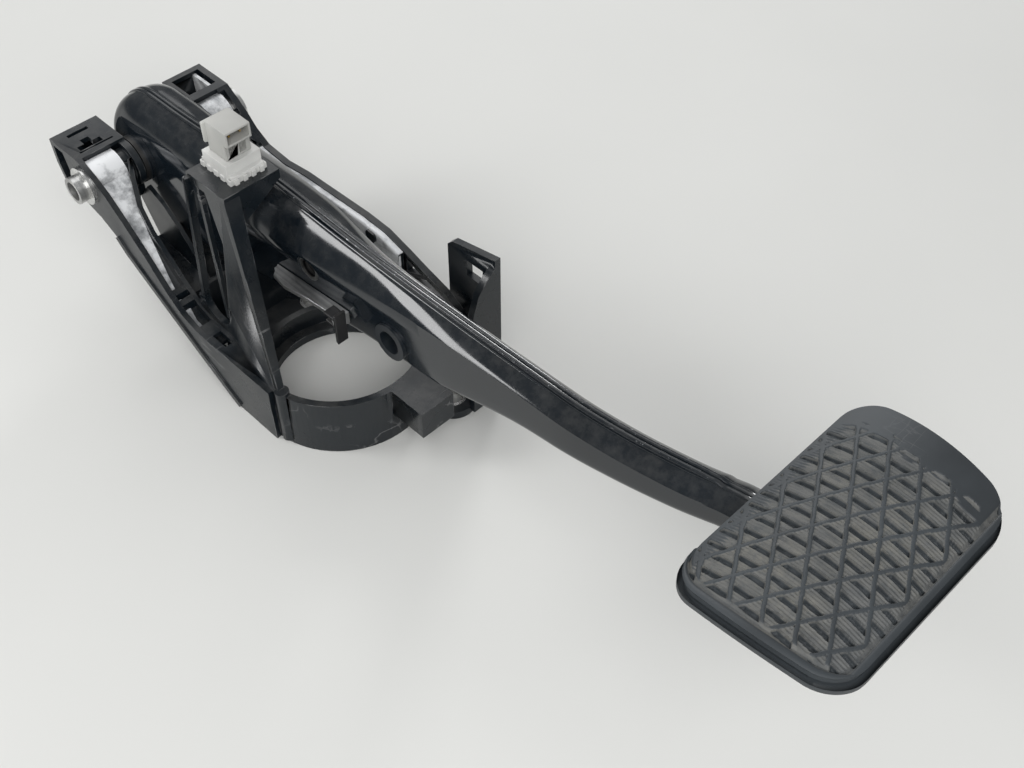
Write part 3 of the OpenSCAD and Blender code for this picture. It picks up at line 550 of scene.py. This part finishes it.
@dataclass
class PedalPad:
    """The rubber pad: a cylinder face with a lozenge tread, a bead and a lip over its plate."""

    x: float = 231.0
    y: float = 12.0
    axis_height: float = 42.0
    curve: float = 70.0
    length: float = 61.0
    wide: float = 97.0
    narrow: float = 88.0
    corner: float = 12.0
    edge_round: float = 1.3
    lip_depth: float = 5.8
    # Half diagonals of a lozenge, a knot of the lattice, half a rib and its flanks' shares
    half_x: float = 5.6
    half_y: float = 9.75
    knot: tuple[float, float] = (228.2, -6.0)
    rib: float = 1.15
    rib_flank: tuple[float, float] = (0.32, 0.95)
    # Depth of the cells, and the bars and grooves in them
    floor: float = 1.9
    bar_pitch: float = 6.0
    bar_half: float = 1.9
    bar_flank: float = 0.45
    bar_top: float = 0.35
    groove_pitch: float = 1.25
    groove_depth: float = 0.3
    # The worn band on the right side, the bead, and the trough inside it
    bald: tuple[float, float] = (15.5, 9.5)
    bead_in: float = 2.1
    bead_high: float = 0.45
    trough_in: float = 4.3
    trough_deep: float = 0.9
    bow: float = 3.2
    grid: tuple[int, int] = (230, 352)

    def side(self, x: np.ndarray) -> np.ndarray:
        """Half the pad's width at x: a straight taper from the arm's side to the far side."""
        share = (x - (self.x - self.length / 2)) / self.length
        return (self.wide + (self.narrow - self.wide) * share) / 2

    def half_width(self, x: np.ndarray, inset: float) -> np.ndarray:
        """Half width of the outline: the taper, less a quarter circle at each end."""
        radius = self.corner - inset
        near = self.length / 2 - inset - np.abs(x - self.x)
        turn = np.clip(radius - np.clip(near, 0, radius), 0, radius)
        return self.side(x) - inset - (radius - np.sqrt(np.maximum(radius**2 - turn**2, 0)))

    def bowed(self, x: np.ndarray, across: np.ndarray) -> np.ndarray:
        """How far a point moves out where a side bows: a parabola along, a cube across."""
        t = np.clip((x - self.x) / (self.length / 2), -1, 1)
        most = np.where(across < 0, -self.bow * 1.6, self.bow * 0.4)
        return most * (1 - t * t) * np.abs(across) ** 3

    def face_height(self, x: np.ndarray, drop: np.ndarray | float = 0.0) -> np.ndarray:
        """Height of a cylinder about the pad's axis of curvature, with a drop below its radius."""
        square = (self.curve - drop) ** 2 - (x - self.x) ** 2
        return self.axis_height + np.sqrt(np.maximum(square, 1.0))

    def tread(self, x: np.ndarray, y: np.ndarray) -> np.ndarray:
        """Depth of the tread below the ribs' tops.

        Two families of ribs run where p and q are whole, with p and q = dx / 2a +- dy / 2b. In a
        cell, bars run along X: the distance from its middle along Y repeats every bar and gap.

        Args:
            x: Places along the arm.
            y: Places across the pad.

        Returns:
            Depth in millimetres, 0 on the ribs.
        """
        a, b = self.half_x, self.half_y
        p = (x - self.knot[0]) / (2 * a) + (y - self.knot[1]) / (2 * b)
        q = (x - self.knot[0]) / (2 * a) - (y - self.knot[1]) / (2 * b)
        steep = np.hypot(1 / (2 * a), 1 / (2 * b))
        from_rib = np.minimum(np.abs(p - np.round(p)), np.abs(q - np.round(q))) / steep
        rib = 1 - smoothstep(*(self.rib * share for share in self.rib_flank), from_rib)
        middle = self.knot[1] + b * ((np.floor(p) + 0.5) - (np.floor(q) + 0.5))
        along = y - middle
        bar_no = np.round(along / self.bar_pitch)
        off = along - self.bar_pitch * bar_no
        bar = 1 - smoothstep(self.bar_half, self.bar_half + self.bar_flank, np.abs(off))
        bar = bar * (np.abs(bar_no) < 1.5)
        groove = 0.5 + 0.5 * np.cos(2 * np.pi * off / self.groove_pitch)
        bar_depth = self.bar_top + self.groove_depth * groove
        depth = self.floor + (bar_depth - self.floor) * bar
        return depth * (1 - rib)

    def surface(self, x: np.ndarray, y: np.ndarray, edge: dict[str, np.ndarray]) -> np.ndarray:
        """Depth of the whole face: the tread, a bead on three sides, a bald band on the right.

        Args:
            x: Places along the arm.
            y: Places across the pad.
            edge: Distances to the four sides, by name.

        Returns:
            Depth in millimetres, negative where the bead stands proud.
        """
        worn = np.sin(x * 0.61 + y * 0.37) * 0.5 + np.sin(x * 0.23 - y * 0.53 + 1.0) * 0.5
        lift = 2.0 * smoothstep(*self.bald, edge["right"] + 1.8 * worn)
        lift = np.maximum(lift, 0.55 * smoothstep(9, 3, edge["near"]))
        depth = np.maximum(self.tread(x, y) - lift, 0.0)
        bead_side = np.minimum(edge["left"], edge["far"])
        bead = np.minimum(bead_side, edge["right"])
        inner = np.minimum(bead, edge["near"] + 1.3)
        depth = depth * smoothstep(3.4, 4.3, inner)
        trough = np.exp(-(((bead_side - self.trough_in) / 0.8) ** 2)) * self.trough_deep
        ridge = self.bead_high * np.exp(-(((bead_side - self.bead_in) / 1.2) ** 2))
        return np.maximum(depth, trough) - ridge

    def lip(self) -> list[tuple[float, float]]:
        """Profile of the side, as ways out and down: a round edge, a groove, the lip."""
        r, low = self.edge_round, self.lip_depth
        under = r - 2.45
        turn = np.radians([15, 32, 50, 68, 90])
        return [(r * np.sin(a), r * (1 - np.cos(a))) for a in turn] + [
            (r, low * 0.5), (r - 0.35, low * 0.56), (r - 0.35, low * 0.64), (r, low * 0.7),
            (r, low - 0.7), (r - 0.5, low), (r - 2.2, low), (under, low - 0.4), (under, 3.55)]

    def rubber(self) -> bpy.types.Object:
        """Builds the rubber: a grid of rows across the pad, then loops over the lip."""
        rows, columns = self.grid
        inset = self.edge_round
        start, end = self.x - self.length / 2 + inset, self.x + self.length / 2 - inset
        t = np.linspace(0, 1, rows)
        x_row = start + (end - start) * (t - 0.0143 * np.sin(2 * np.pi * t))
        half = self.half_width(x_row, inset)
        across = np.linspace(-1, 1, columns)
        x = np.repeat(x_row[:, None], columns, 1)
        y = self.y + half[:, None] * across[None, :]
        edge = {
            "near": x - (self.x - self.length / 2), "far": self.x + self.length / 2 - x,
            "right": half[:, None] * (1 - across) + inset,
            "left": half[:, None] * (1 + across) + inset,
        }
        y = y + self.bowed(x, across[None, :])
        depth = self.surface(x, y, edge)
        top = np.stack([x, y, self.face_height(x, depth)], -1)
        number = np.arange(rows * columns).reshape(rows, columns)
        ring = np.concatenate([number[0], number[1:, -1], number[-1, -2::-1], number[-2:0:-1, 0]])
        loop = top.reshape(-1, 3)[ring]
        ahead, behind = np.roll(loop, -1, 0) - loop, loop - np.roll(loop, 1, 0)
        run = (ahead[:, :2] / np.linalg.norm(ahead[:, :2], axis=1, keepdims=True)
               + behind[:, :2] / np.linalg.norm(behind[:, :2], axis=1, keepdims=True))
        run /= np.linalg.norm(run, axis=1, keepdims=True)
        loops = []
        for away, drop in self.lip():
            px, py = loop[:, 0] + run[:, 1] * away, loop[:, 1] - run[:, 0] * away
            loops.append(np.stack([px, py, self.face_height(px, drop)], -1))
        skirt = np.stack(loops)
        count, n = rows * columns, len(ring)
        points = np.concatenate([top.reshape(-1, 3), skirt.reshape(-1, 3)])
        first = np.stack([ring, np.roll(ring, -1), count + (np.arange(n) + 1) % n,
                          count + np.arange(n)], -1)
        faces = np.concatenate([grid_faces(rows, columns)[:, ::-1], first[:, ::-1],
                                grid_faces(len(skirt), n, around=True)[:, ::-1] + count])
        piece = make_object("pad_rubber_tread", points, faces)
        add_attribute(piece, "cell_depth", np.concatenate([
            np.clip(depth / self.floor, 0, 1).ravel(), np.zeros(len(skirt) * n)]))
        tidy_shell(piece)
        shade(piece, 48)
        return piece

    def dress(self) -> None:
        """Builds the rubber and finishes it and its plate."""
        piece = self.rubber()
        Finish.RUBBER.put_on(piece)
        Finish.PLAIN_PAINT.put_on(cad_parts["pad_plate"])
        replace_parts(piece, "pad_rubber")
        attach(piece, "pedal")
        log.info("pad: %d faces", len(piece.data.polygons))


@dataclass
class PedalArm:
    """The two pressed shells of the arm, as smooth lofts through the CAD shells' own tables."""

    pivot_x: float = -111.0
    pivot_h: float = 68.0
    reach: float = 342.0
    head: float = 25.0
    seam: float = 2.5
    sheet: float = 2.0
    top: float = 94.0
    slim: float = 19.0
    head_half: float = 14.0
    arm_half: float = 8.5
    pad_offset: float = 12.0
    eye_h: float = 66.0
    plate_radius: float = 64.0
    plate_axis: float = 42.0
    pad_length: float = 61.0
    # Past the pad's middle the shells go on this far
    past_pad: float = 12.0
    # How far the shoulder is a flat chamfer instead of a round
    flatness: float = 0.75
    lip: float = 0.7
    fillet: float = 0.9
    # Lengths over which the closed ends are rounded
    nose_round: float = 9.0
    tail_round: float = 6.0
    # Holes through both shells: the hub's diameter, then place along X, height and diameter
    hub_hole: float = 21.1
    side_holes: tuple[tuple[float, float, float], ...] = ((46.0, 66.0, 16.0), (2.0, 76.0, 11.0))

    def share(self, x: np.ndarray) -> np.ndarray:
        """Share of the way from the pivot to the pad's middle."""
        return (x - self.pivot_x) / self.reach

    def side(self, x: np.ndarray) -> np.ndarray:
        """Sideways place of the seam, which bends towards the pad."""
        table = [(0, 0), (0.7, 0), (0.77, 0.15), (0.84, 0.45), (0.92, 0.85), (1, 1)]
        return self.pad_offset * table_curve(table, self.share(x))

    def seam_rise(self, x: np.ndarray) -> np.ndarray:
        """Height of the welded seam over the shells, which fades out under the pad."""
        return self.seam * np.clip((0.9 - self.share(x)) / 0.05, 0.2, 1)

    def crest(self, x: np.ndarray) -> np.ndarray:
        """Top of the shells: a circle round the pivot, the table, the plate's underside."""
        t = self.top
        table = [(0, self.pivot_h + self.head), (0.1, t - 0.5), (0.25, t + 0.5), (0.4, t - 1),
                 (0.55, t - 1), (0.7, t), (0.8, t + 0.5), (0.87, t + 2), (0.93, t + 7), (1, t + 13),
                 (1.04, t + 14)]
        pad_x = self.pivot_x + self.reach
        plate = self.plate_axis + np.sqrt(self.plate_radius**2
                                          - np.clip(x - pad_x, -self.pad_length / 2 - 2, 40) ** 2)
        plate = np.where(x < pad_x - self.pad_length / 2 - 12, 112.0, plate)
        along = np.minimum(table_curve(table, self.share(x)), plate - self.seam_rise(x) - 0.3)
        return np.where(x < self.pivot_x, self.pivot_h + self.arc(x, self.head), along)

    def foot(self, x: np.ndarray) -> np.ndarray:
        """Foot of the shells: a circle round the pivot, then the table."""
        h, low, eye = self.pivot_h - self.head, self.top - self.slim, self.eye_h
        table = [(0, h), (0.12, h), (0.3, h + 4), (0.4, h + 9), (0.46, eye - 10.5),
                 (0.53, eye - 6.5), (0.59, eye), (0.66, low - 2.5), (0.76, low + 2),
                 (0.85, low + 5.5), (0.92, low + 10), (1.04, low + 18)]
        round_foot = self.pivot_h - self.arc(x, self.head)
        return np.where(x < self.pivot_x, round_foot, table_curve(table, self.share(x)))

    def arc(self, x: np.ndarray, r: float) -> np.ndarray:
        """Height of a circle round the pivot over the pivot's level."""
        return np.sqrt(np.maximum(r * r - (x - self.pivot_x) ** 2, 0))

    def fullness(self, x: np.ndarray, first: float, last: float) -> np.ndarray:
        """How full the shell is near its two closed ends: a quarter circle at each."""
        nose = np.clip((x - first) / self.nose_round, 0, 1)
        tail = np.clip((last - x) / self.tail_round, 0, 1)
        return np.sqrt(1 - (1 - nose) ** 2) * np.sqrt(1 - (1 - tail) ** 2)

    def stations(self) -> np.ndarray:
        """Places of the sections: even angles round the nose, even steps, a rounded tail."""
        nose = self.pivot_x - self.head * np.cos(np.radians(np.linspace(18, 88, 30)))
        straight = self.pivot_x + self.reach + self.past_pad - self.tail_round
        tail = straight + self.tail_round * np.sin(np.radians(np.linspace(12, 90, 9)))
        return np.concatenate([nose, np.linspace(self.pivot_x, straight, 190), tail])

    def tables(self, hand: int) -> tuple[Points, Points]:
        """Width of a shell, and how far its shoulder drops, over the share of the way."""
        head, arm = self.head_half, self.arm_half
        if hand < 0:
            return ([(0, head), (0.15, head), (0.3, head - 1.5), (0.42, arm + 1), (0.52, arm),
                     (1, arm)],
                    [(0, 20), (0.15, 18), (0.3, 13), (0.42, 9), (0.48, 6), (0.58, 3.5), (1, 3)])
        return ([(0, head), (0.15, head), (0.3, head - 2.5), (0.42, arm - 2), (0.6, arm - 2.5),
                 (1, arm - 1)],
                [(0, 9), (0.2, 6), (0.4, 3.5), (1, 3)])

    def shell(self, name: str, hand: int) -> bpy.types.Object:
        """One shell, closed along the seam's plane.

        A section runs from the seam's plane over the rounded seam edge, down its flank into a
        fillet, over the shoulder (between a quarter ellipse of the table's drop and its chord),
        down the side and round into the lower seam.

        Args:
            name: The piece's name.
            hand: -1 for the left shell, 1 for the right.

        Returns:
            The closed mesh.
        """
        x = self.stations()
        full = self.fullness(x, x[0], x[-1])
        share = self.share(x)
        width, drop = self.tables(hand)
        top, low, in_head = self.crest(x), self.foot(x), x < self.pivot_x
        rim = self.arc(x, self.head + self.seam)
        rise = np.where(in_head, rim - self.arc(x, self.head), self.seam_rise(x))
        rise = rise * (0.3 + 0.7 * smoothstep(-100, -50, x))
        seam_low = np.where(in_head, self.pivot_h - rim, low - self.seam)
        taper = [(0, 0), (0.14, 0.3), (0.27, 5.5), (0.36, 5), (0.46, 2.5), (0.56, 0.6), (1, 0.3)]
        s = self.sheet
        w = np.maximum(table_curve(width, share) * full, s + 0.01)
        w_foot = np.maximum(w - table_curve(taper, share) * full, s + 0.01)
        d = np.minimum(table_curve(drop, share) * (0.4 + 0.6 * full), 0.45 * (top - low))
        turn = np.minimum(4, 0.3 * (top - low))
        fillet = np.minimum(self.fillet, 0.4 * rise)
        lip = np.minimum(self.lip, rise / 2)
        blend_in = smoothstep(-60, -10, x) if hand < 0 else smoothstep(-105, -60, x)
        flat = self.flatness * blend_in
        ring: list[tuple[np.ndarray, np.ndarray, float]] = []

        def put(across: np.ndarray | float, height: np.ndarray, glint: float = 0.0) -> None:
            """Adds a point to every section: its way out, its height, and its share of the seam's
            light grey marks, which are partly wear and partly a painted glint.
            """
            ring.append((across + 0 * x, height, glint))

        crown = top + rise
        put(0.05, crown - lip)
        put(0.2, crown - 0.3 * lip, 0.2)
        put(0.5, crown, 0.8)
        put(s - 0.9, crown, 0.3)
        for a, glint in ((30, 1.0), (60, 0.8), (90, 0.0)):
            t = np.radians(a)
            put(s - self.lip + self.lip * np.sin(t), crown - lip * (1 - np.cos(t)), glint)
        put(s, top + fillet)
        foot_in = np.minimum(fillet, (w - s) * 0.3)
        for a in np.radians([25, 50, 75]):
            put(s + foot_in * (1 - np.cos(a)), top + fillet * (1 - np.sin(a)))
        inner = s + foot_in
        for a in np.radians(np.linspace(0, 90, 17)[1:]):
            chord = (np.sin(a) + 1 - np.cos(a)) / 2
            over = (1 - flat) * np.sin(a) + flat * chord
            down = (1 - flat) * (1 - np.cos(a)) + flat * chord
            put(inner + (w - inner) * over, top - d * down)
        flat_low = low + turn
        for k in (0.25, 0.5, 0.75):
            put(w * (1 - k) + w_foot * k, (top - d) * (1 - k) + flat_low * k)
        for a in np.radians(np.linspace(0, 90, 7)):
            inwards = np.minimum(turn, w_foot - s) * (1 - np.cos(a))
            put(w_foot - inwards, flat_low - turn * np.sin(a))
        put(s, low - 0.3)
        put(s, seam_low + 0.5, 0.4)
        put(s - 0.5, seam_low, 0.6)
        put(0.0, seam_low, 0.4)
        return self.skin(name, hand, x, ring)

    def skin(self, name: str, hand: int, x: np.ndarray,
             ring: list[tuple[np.ndarray, np.ndarray, float]]) -> bpy.types.Object:
        """Joins the sections of a shell to one closed mesh, with a fan over each end.

        Args:
            name: The piece's name.
            hand: -1 for the left shell, 1 for the right.
            x: Places of the sections.
            ring: Ways out, heights and seam marks of the section's points; the marks are partly
                wear and partly a painted glint.

        Returns:
            The closed mesh.
        """
        wide = np.stack([r[0] for r in ring], 1)
        high = np.stack([r[1] for r in ring], 1)
        along = np.repeat(x[:, None], len(ring), 1)
        points = np.stack([along, self.side(x)[:, None] + hand * wide, high], -1)
        points[0, :, 0] -= 0.3 * self.seam
        rows, columns = points.shape[:2]
        middle = points.mean(1)
        j = np.arange(columns)
        caps = [np.stack([row * columns + j, row * columns + (j + 1) % columns,
                          np.full(columns, centre)], -1)
                for row, centre in ((0, rows * columns), (rows - 1, rows * columns + 1))]
        points = np.concatenate([points.reshape(-1, 3), middle[[0, -1]]])
        piece = make_object(name, points, grid_faces(rows, columns, around=True),
                            np.concatenate(caps))
        # Weights of the seam's light grey marks: partly wear and partly a painted glint.
        ridge = np.repeat(np.array([[r[2] for r in ring]]), rows, 0)
        fade = smoothstep(-95, -60, x) * (1 - smoothstep(178, 196, x))
        add_attribute(piece, "seam_edge", np.concatenate([(ridge * fade[:, None]).ravel(), [0, 0]]))
        tidy_shell(piece)
        return piece

    def bored(self, piece: bpy.types.Object, holes: Sequence[tuple[float, float, float]]) -> None:
        """Cuts round holes along Y through a shell: place along X, height and diameter of each."""
        n, past = 64, np.array([0, 30.0, 0])
        a = np.linspace(0, 2 * np.pi, n, endpoint=False)
        for k, (hx, hz, d) in enumerate(holes):
            ring = np.stack([hx + d / 2 * np.cos(a), 0 * a, hz + d / 2 * np.sin(a)], -1)
            points = np.concatenate([ring - past, ring + past])
            cutter = make_object(f"cutter_{k}", points, grid_faces(2, n, around=True),
                                 np.arange(2 * n).reshape(2, n))
            tidy_shell(cutter)
            cut_with(piece, cutter)
        shade(piece, 38)

    def dress(self) -> None:
        """Builds both shells and finishes everything that is fixed to them."""
        holes = [(self.pivot_x, self.pivot_h, self.hub_hole), *self.side_holes]
        for name, hand, node in (("arm_shell_left", -1, "shell_left"),
                                 ("arm_shell_right", 1, "shell_right")):
            piece = self.shell(name, hand)
            self.bored(piece, holes)
            Finish.PAINT.put_on(piece)
            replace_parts(piece, node)
            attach(piece, "pedal")
            log.info("%s: %d faces", name, len(piece.data.polygons))
        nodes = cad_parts
        Finish.PLAIN_PAINT.put_on(nodes["hub_sleeve"])
        Finish.BUSH.put_on(nodes["hub_bush_left"], nodes["hub_bush_right"])
        Finish.DULL.put_on(nodes["spacer_tube"])
        Finish.PLAIN_PAINT.put_on(nodes["eye_bush"])
        for node, finish, slot in (("clip_tongue", Finish.STAMPED, "arm_paint"),
                                   ("contact_plate", Finish.PLAIN_PAINT, "arm_paint"),
                                   ("pin_clip", Finish.CLIP, "clip_plastic")):
            piece = cad_copy(node, node + "_finished", 0.3)
            finish.put_on(piece)
            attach(piece, "pedal")
            log.info("%s rounded", node)


@dataclass
class PedalBracket:
    """The moulded bracket with its steel inserts, sleeves and pivot tube."""

    edge: float = 0.35
    # Inner face of the right arm's frame, and where the part of it that stays begins
    right_face: float = 31.0
    rim_from: float = 34.0
    # Start, end and foot of the step, the end of its sheet along the arm, and its depth
    step_start: float = -90.0
    step_end: float = 49.5
    step_foot: float = 29.0
    sheet_end: float = 5.0
    step_depth: float = 1.1
    right_line: Points = (
        (-101, 71), (-95, 65), (-87, 60.5), (-73, 59.2), (-59, 61), (-45, 61.5), (-19, 62.2),
        (-6, 61.5), (6, 58), (18, 54), (30, 50.5), (38, 45), (45, 36))

    def top(self, x: np.ndarray) -> np.ndarray:
        """Height of the right arm's top line at x, straight between its points."""
        return np.interp(x, *np.array(self.right_line).T)

    def recess(self, piece: bpy.types.Object) -> None:
        """Takes the inner half off the right arm's frame: a step behind, all of it in front."""
        behind = np.linspace(self.step_start, self.sheet_end, 40)
        high = 95.0
        x = np.concatenate([behind, [self.sheet_end, *[self.step_end] * 2, self.step_start]])
        z = np.concatenate([self.top(behind) - self.step_depth,
                            [self.step_foot, self.step_foot, high, high]])
        ring = np.stack([x, 0 * x + self.right_face - 1.0, z], -1)
        far = ring + (0, self.rim_from - self.right_face + 1, 0)
        n = len(x)
        cutter = make_object("recess_cutter", np.concatenate([ring, far]),
                             grid_faces(2, n, around=True), np.arange(2 * n).reshape(2, n))
        tidy_shell(cutter)
        cut_with(piece, cutter)

    def flange(self) -> bpy.types.Object:
        """The steel's folded edge in the step: a bent strip, carried along the top line."""
        x = np.linspace(self.step_start + 2, self.sheet_end, 90)
        bend = np.radians(np.linspace(0, 90, 7))
        sheet, drop, r = 0.4, 0.5, 1.0
        back, inner = self.rim_from - 0.1, self.right_face - 0.1
        across = np.concatenate([[back], inner + r - r * np.sin(bend), [inner, inner + sheet],
                                 inner + r - (r - sheet) * np.sin(bend[::-1]), [back]])
        down = np.concatenate([[drop], drop + r - r * np.cos(bend), [4.2, 4.2],
                               drop + r - (r - sheet) * np.cos(bend[::-1]), [drop + sheet]])
        wave = 0.12 * np.sin(x * 0.55) + 0.08 * np.sin(x * 1.3 + 1)
        high = (self.top(x) + 0.3 * wave)[:, None] - down[None, :]
        points = np.stack([x[:, None] + 0 * high, across[None, :] + 0 * high, high], -1)
        rows, columns = points.shape[:2]
        ends = np.stack([np.arange(columns), (rows - 1) * columns + np.arange(columns)])
        piece = make_object("right_insert_flange", points.reshape(-1, 3),
                            grid_faces(rows, columns, around=True), ends)
        tidy_shell(piece)
        shade(piece, 40)
        return piece

    def dress(self) -> None:
        """Rounds the moulding's edges and finishes the metal in it."""
        piece = cad_copy("bracket_moulding", "bracket_finished", self.edge, change=self.recess)
        flange = self.flange()
        Finish.INSERT.put_on(flange)
        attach(flange, "bracket")
        Finish.MOULDING.put_on(piece)
        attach(piece, "bracket")
        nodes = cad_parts
        Finish.INSERT.put_on(nodes["insert_left"], nodes["insert_right"])
        Finish.TUBE.put_on(nodes["pivot_tube"], nodes["base_sleeves"])
        Finish.WASHER.put_on(nodes["tube_washers"])
        log.info("bracket: %d faces", len(piece.data.polygons))


@dataclass
class StopSwitch:
    """The stop light switch on the bracket's tower."""

    edge: float = 0.4

    def dress(self) -> None:
        """Rounds and finishes the collar and the connector housing."""
        for node, finish, slot in (("switch_collar", Finish.WHITE, "switch_white"),
                                   ("switch_housing", Finish.GREY, "switch_grey")):
            piece = cad_copy(node, node + "_finished", self.edge)
            finish.put_on(piece)
            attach(piece, "bracket")
            log.info("%s rounded", node)
        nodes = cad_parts
        Finish.WHITE.put_on(nodes["switch_barrel"], nodes["switch_plunger"])
        Finish.BRASS.put_on(nodes["switch_terminals"])


@dataclass(frozen=True)
class Lamp:
    """A square soft lamp: where it hangs and looks, its side and its power in watts."""

    name: str
    place: tuple[float, float, float]
    target: tuple[float, float, float]
    size: float
    power: float

    def hang(self) -> None:
        """Puts the lamp into the scene."""
        data = bpy.data.lights.new(self.name, "AREA")
        data.shape, data.size, data.energy = "SQUARE", self.size, self.power
        lamp = bpy.data.objects.new(self.name, data)
        aim = (Vector(self.target) - Vector(self.place)).to_track_quat("-Z", "Y")
        lamp.matrix_world = Matrix.Translation(self.place) @ aim.to_matrix().to_4x4()
        bpy.context.scene.collection.objects.link(lamp)


@dataclass
class Studio:
    """The photograph's camera, a pale floor, soft lamps and a plain surrounding."""

    place: tuple[float, float, float] = (0.320, -0.216, 0.424)
    forward: tuple[float, float, float] = (-0.4725, 0.4693, -0.746)
    right: tuple[float, float, float] = (0.705, 0.709, 0.0)
    focal_pixels: float = 1315.0
    sensor: float = 36.0
    picture_width: int = 1024
    board: float = 2500.0
    lamps: tuple[Lamp, ...] = (
        Lamp("Ceiling", (-0.55, 0.5, 0.85), (0.05, 0.0, 0.05), 0.9, 3.0),
        Lamp("Window", (-0.55, 0.95, 0.5), (0.05, 0.0, 0.05), 0.22, 3.0),
        Lamp("Softbox", (-0.58, -0.61, 0.61), (0.02, 0.0, 0.09), 0.33, 3.6),
        Lamp("Fill", (0.75, -0.5, 0.8), (0.08, 0.0, 0.05), 0.8, 10.5))

    def camera(self) -> None:
        """Places the camera by its own axes."""
        forward = Vector(self.forward).normalized()
        right = Vector(self.right)
        right = (right - forward * right.dot(forward)).normalized()
        up = right.cross(forward)
        data = bpy.data.cameras.new("Camera")
        data.sensor_width = self.sensor
        data.lens = self.focal_pixels * self.sensor / self.picture_width
        data.clip_start, data.clip_end = 0.01, 20.0
        camera = bpy.data.objects.new("Camera", data)
        turned = Matrix((right, up, -forward)).transposed().to_4x4()
        camera.matrix_world = Matrix.Translation(self.place) @ turned
        bpy.context.scene.collection.objects.link(camera)
        bpy.context.scene.camera = camera

    def floor(self) -> None:
        """A wide pale board under the bracket, which keeps the object's shadow."""
        r, under = self.board, -0.3
        corners = np.array([(-r, -r, under), (r, -r, under), (r, r, under), (-r, r, under)])
        floor = make_object("floor", corners, np.array([[0, 1, 2, 3]]))
        material, s, skin = new_material("Pale board")
        cloud = s.spread(s.noise(3.0, 5), 0.3, 0.7)
        s.feed(skin, {"Base Color": s.tint(cloud, (0.625, 0.626, 0.606), (0.67, 0.67, 0.648)),
                      "Roughness": 0.75, "Normal": s.bump(s.noise(60, 4), 0.15, 0.3)})
        floor.data.materials.append(material)

    def surroundings(self) -> None:
        """A room whose light comes from above: dim at the horizon, brighter overhead."""
        world = bpy.data.worlds.new("Room")
        world.use_nodes = True
        bpy.context.scene.world = world
        s = Sheet(world.node_tree)
        back = world.node_tree.nodes["Background"]
        up = s.add("SeparateXYZ", {0: s.add("TexCoord").outputs["Generated"]}).outputs["Z"]
        sky = s.tint(s.spread(up, 0.05, 0.9), (0.30, 0.31, 0.32), (0.62, 0.63, 0.64))
        s.feed(back, {"Color": sky, "Strength": 0.6})

    def build(self) -> None:
        """Makes the whole studio."""
        bpy.context.scene.view_settings.view_transform = "Standard"
        self.camera()
        self.floor()
        self.surroundings()
        for lamp in self.lamps:
            lamp.hang()
        log.info("studio ready")


def main() -> None:
    """Builds the object's looks and its studio, in order."""
    logging.basicConfig(level=logging.INFO, format="%(message)s")
    builders: list[Callable[[], None]] = [
        Studio().build, PedalBracket().dress, StopSwitch().dress, PedalArm().dress,
        PedalPad().dress]
    for build in builders:
        build()
    bpy.context.view_layer.update()


if __name__ == "__main__":
    main()
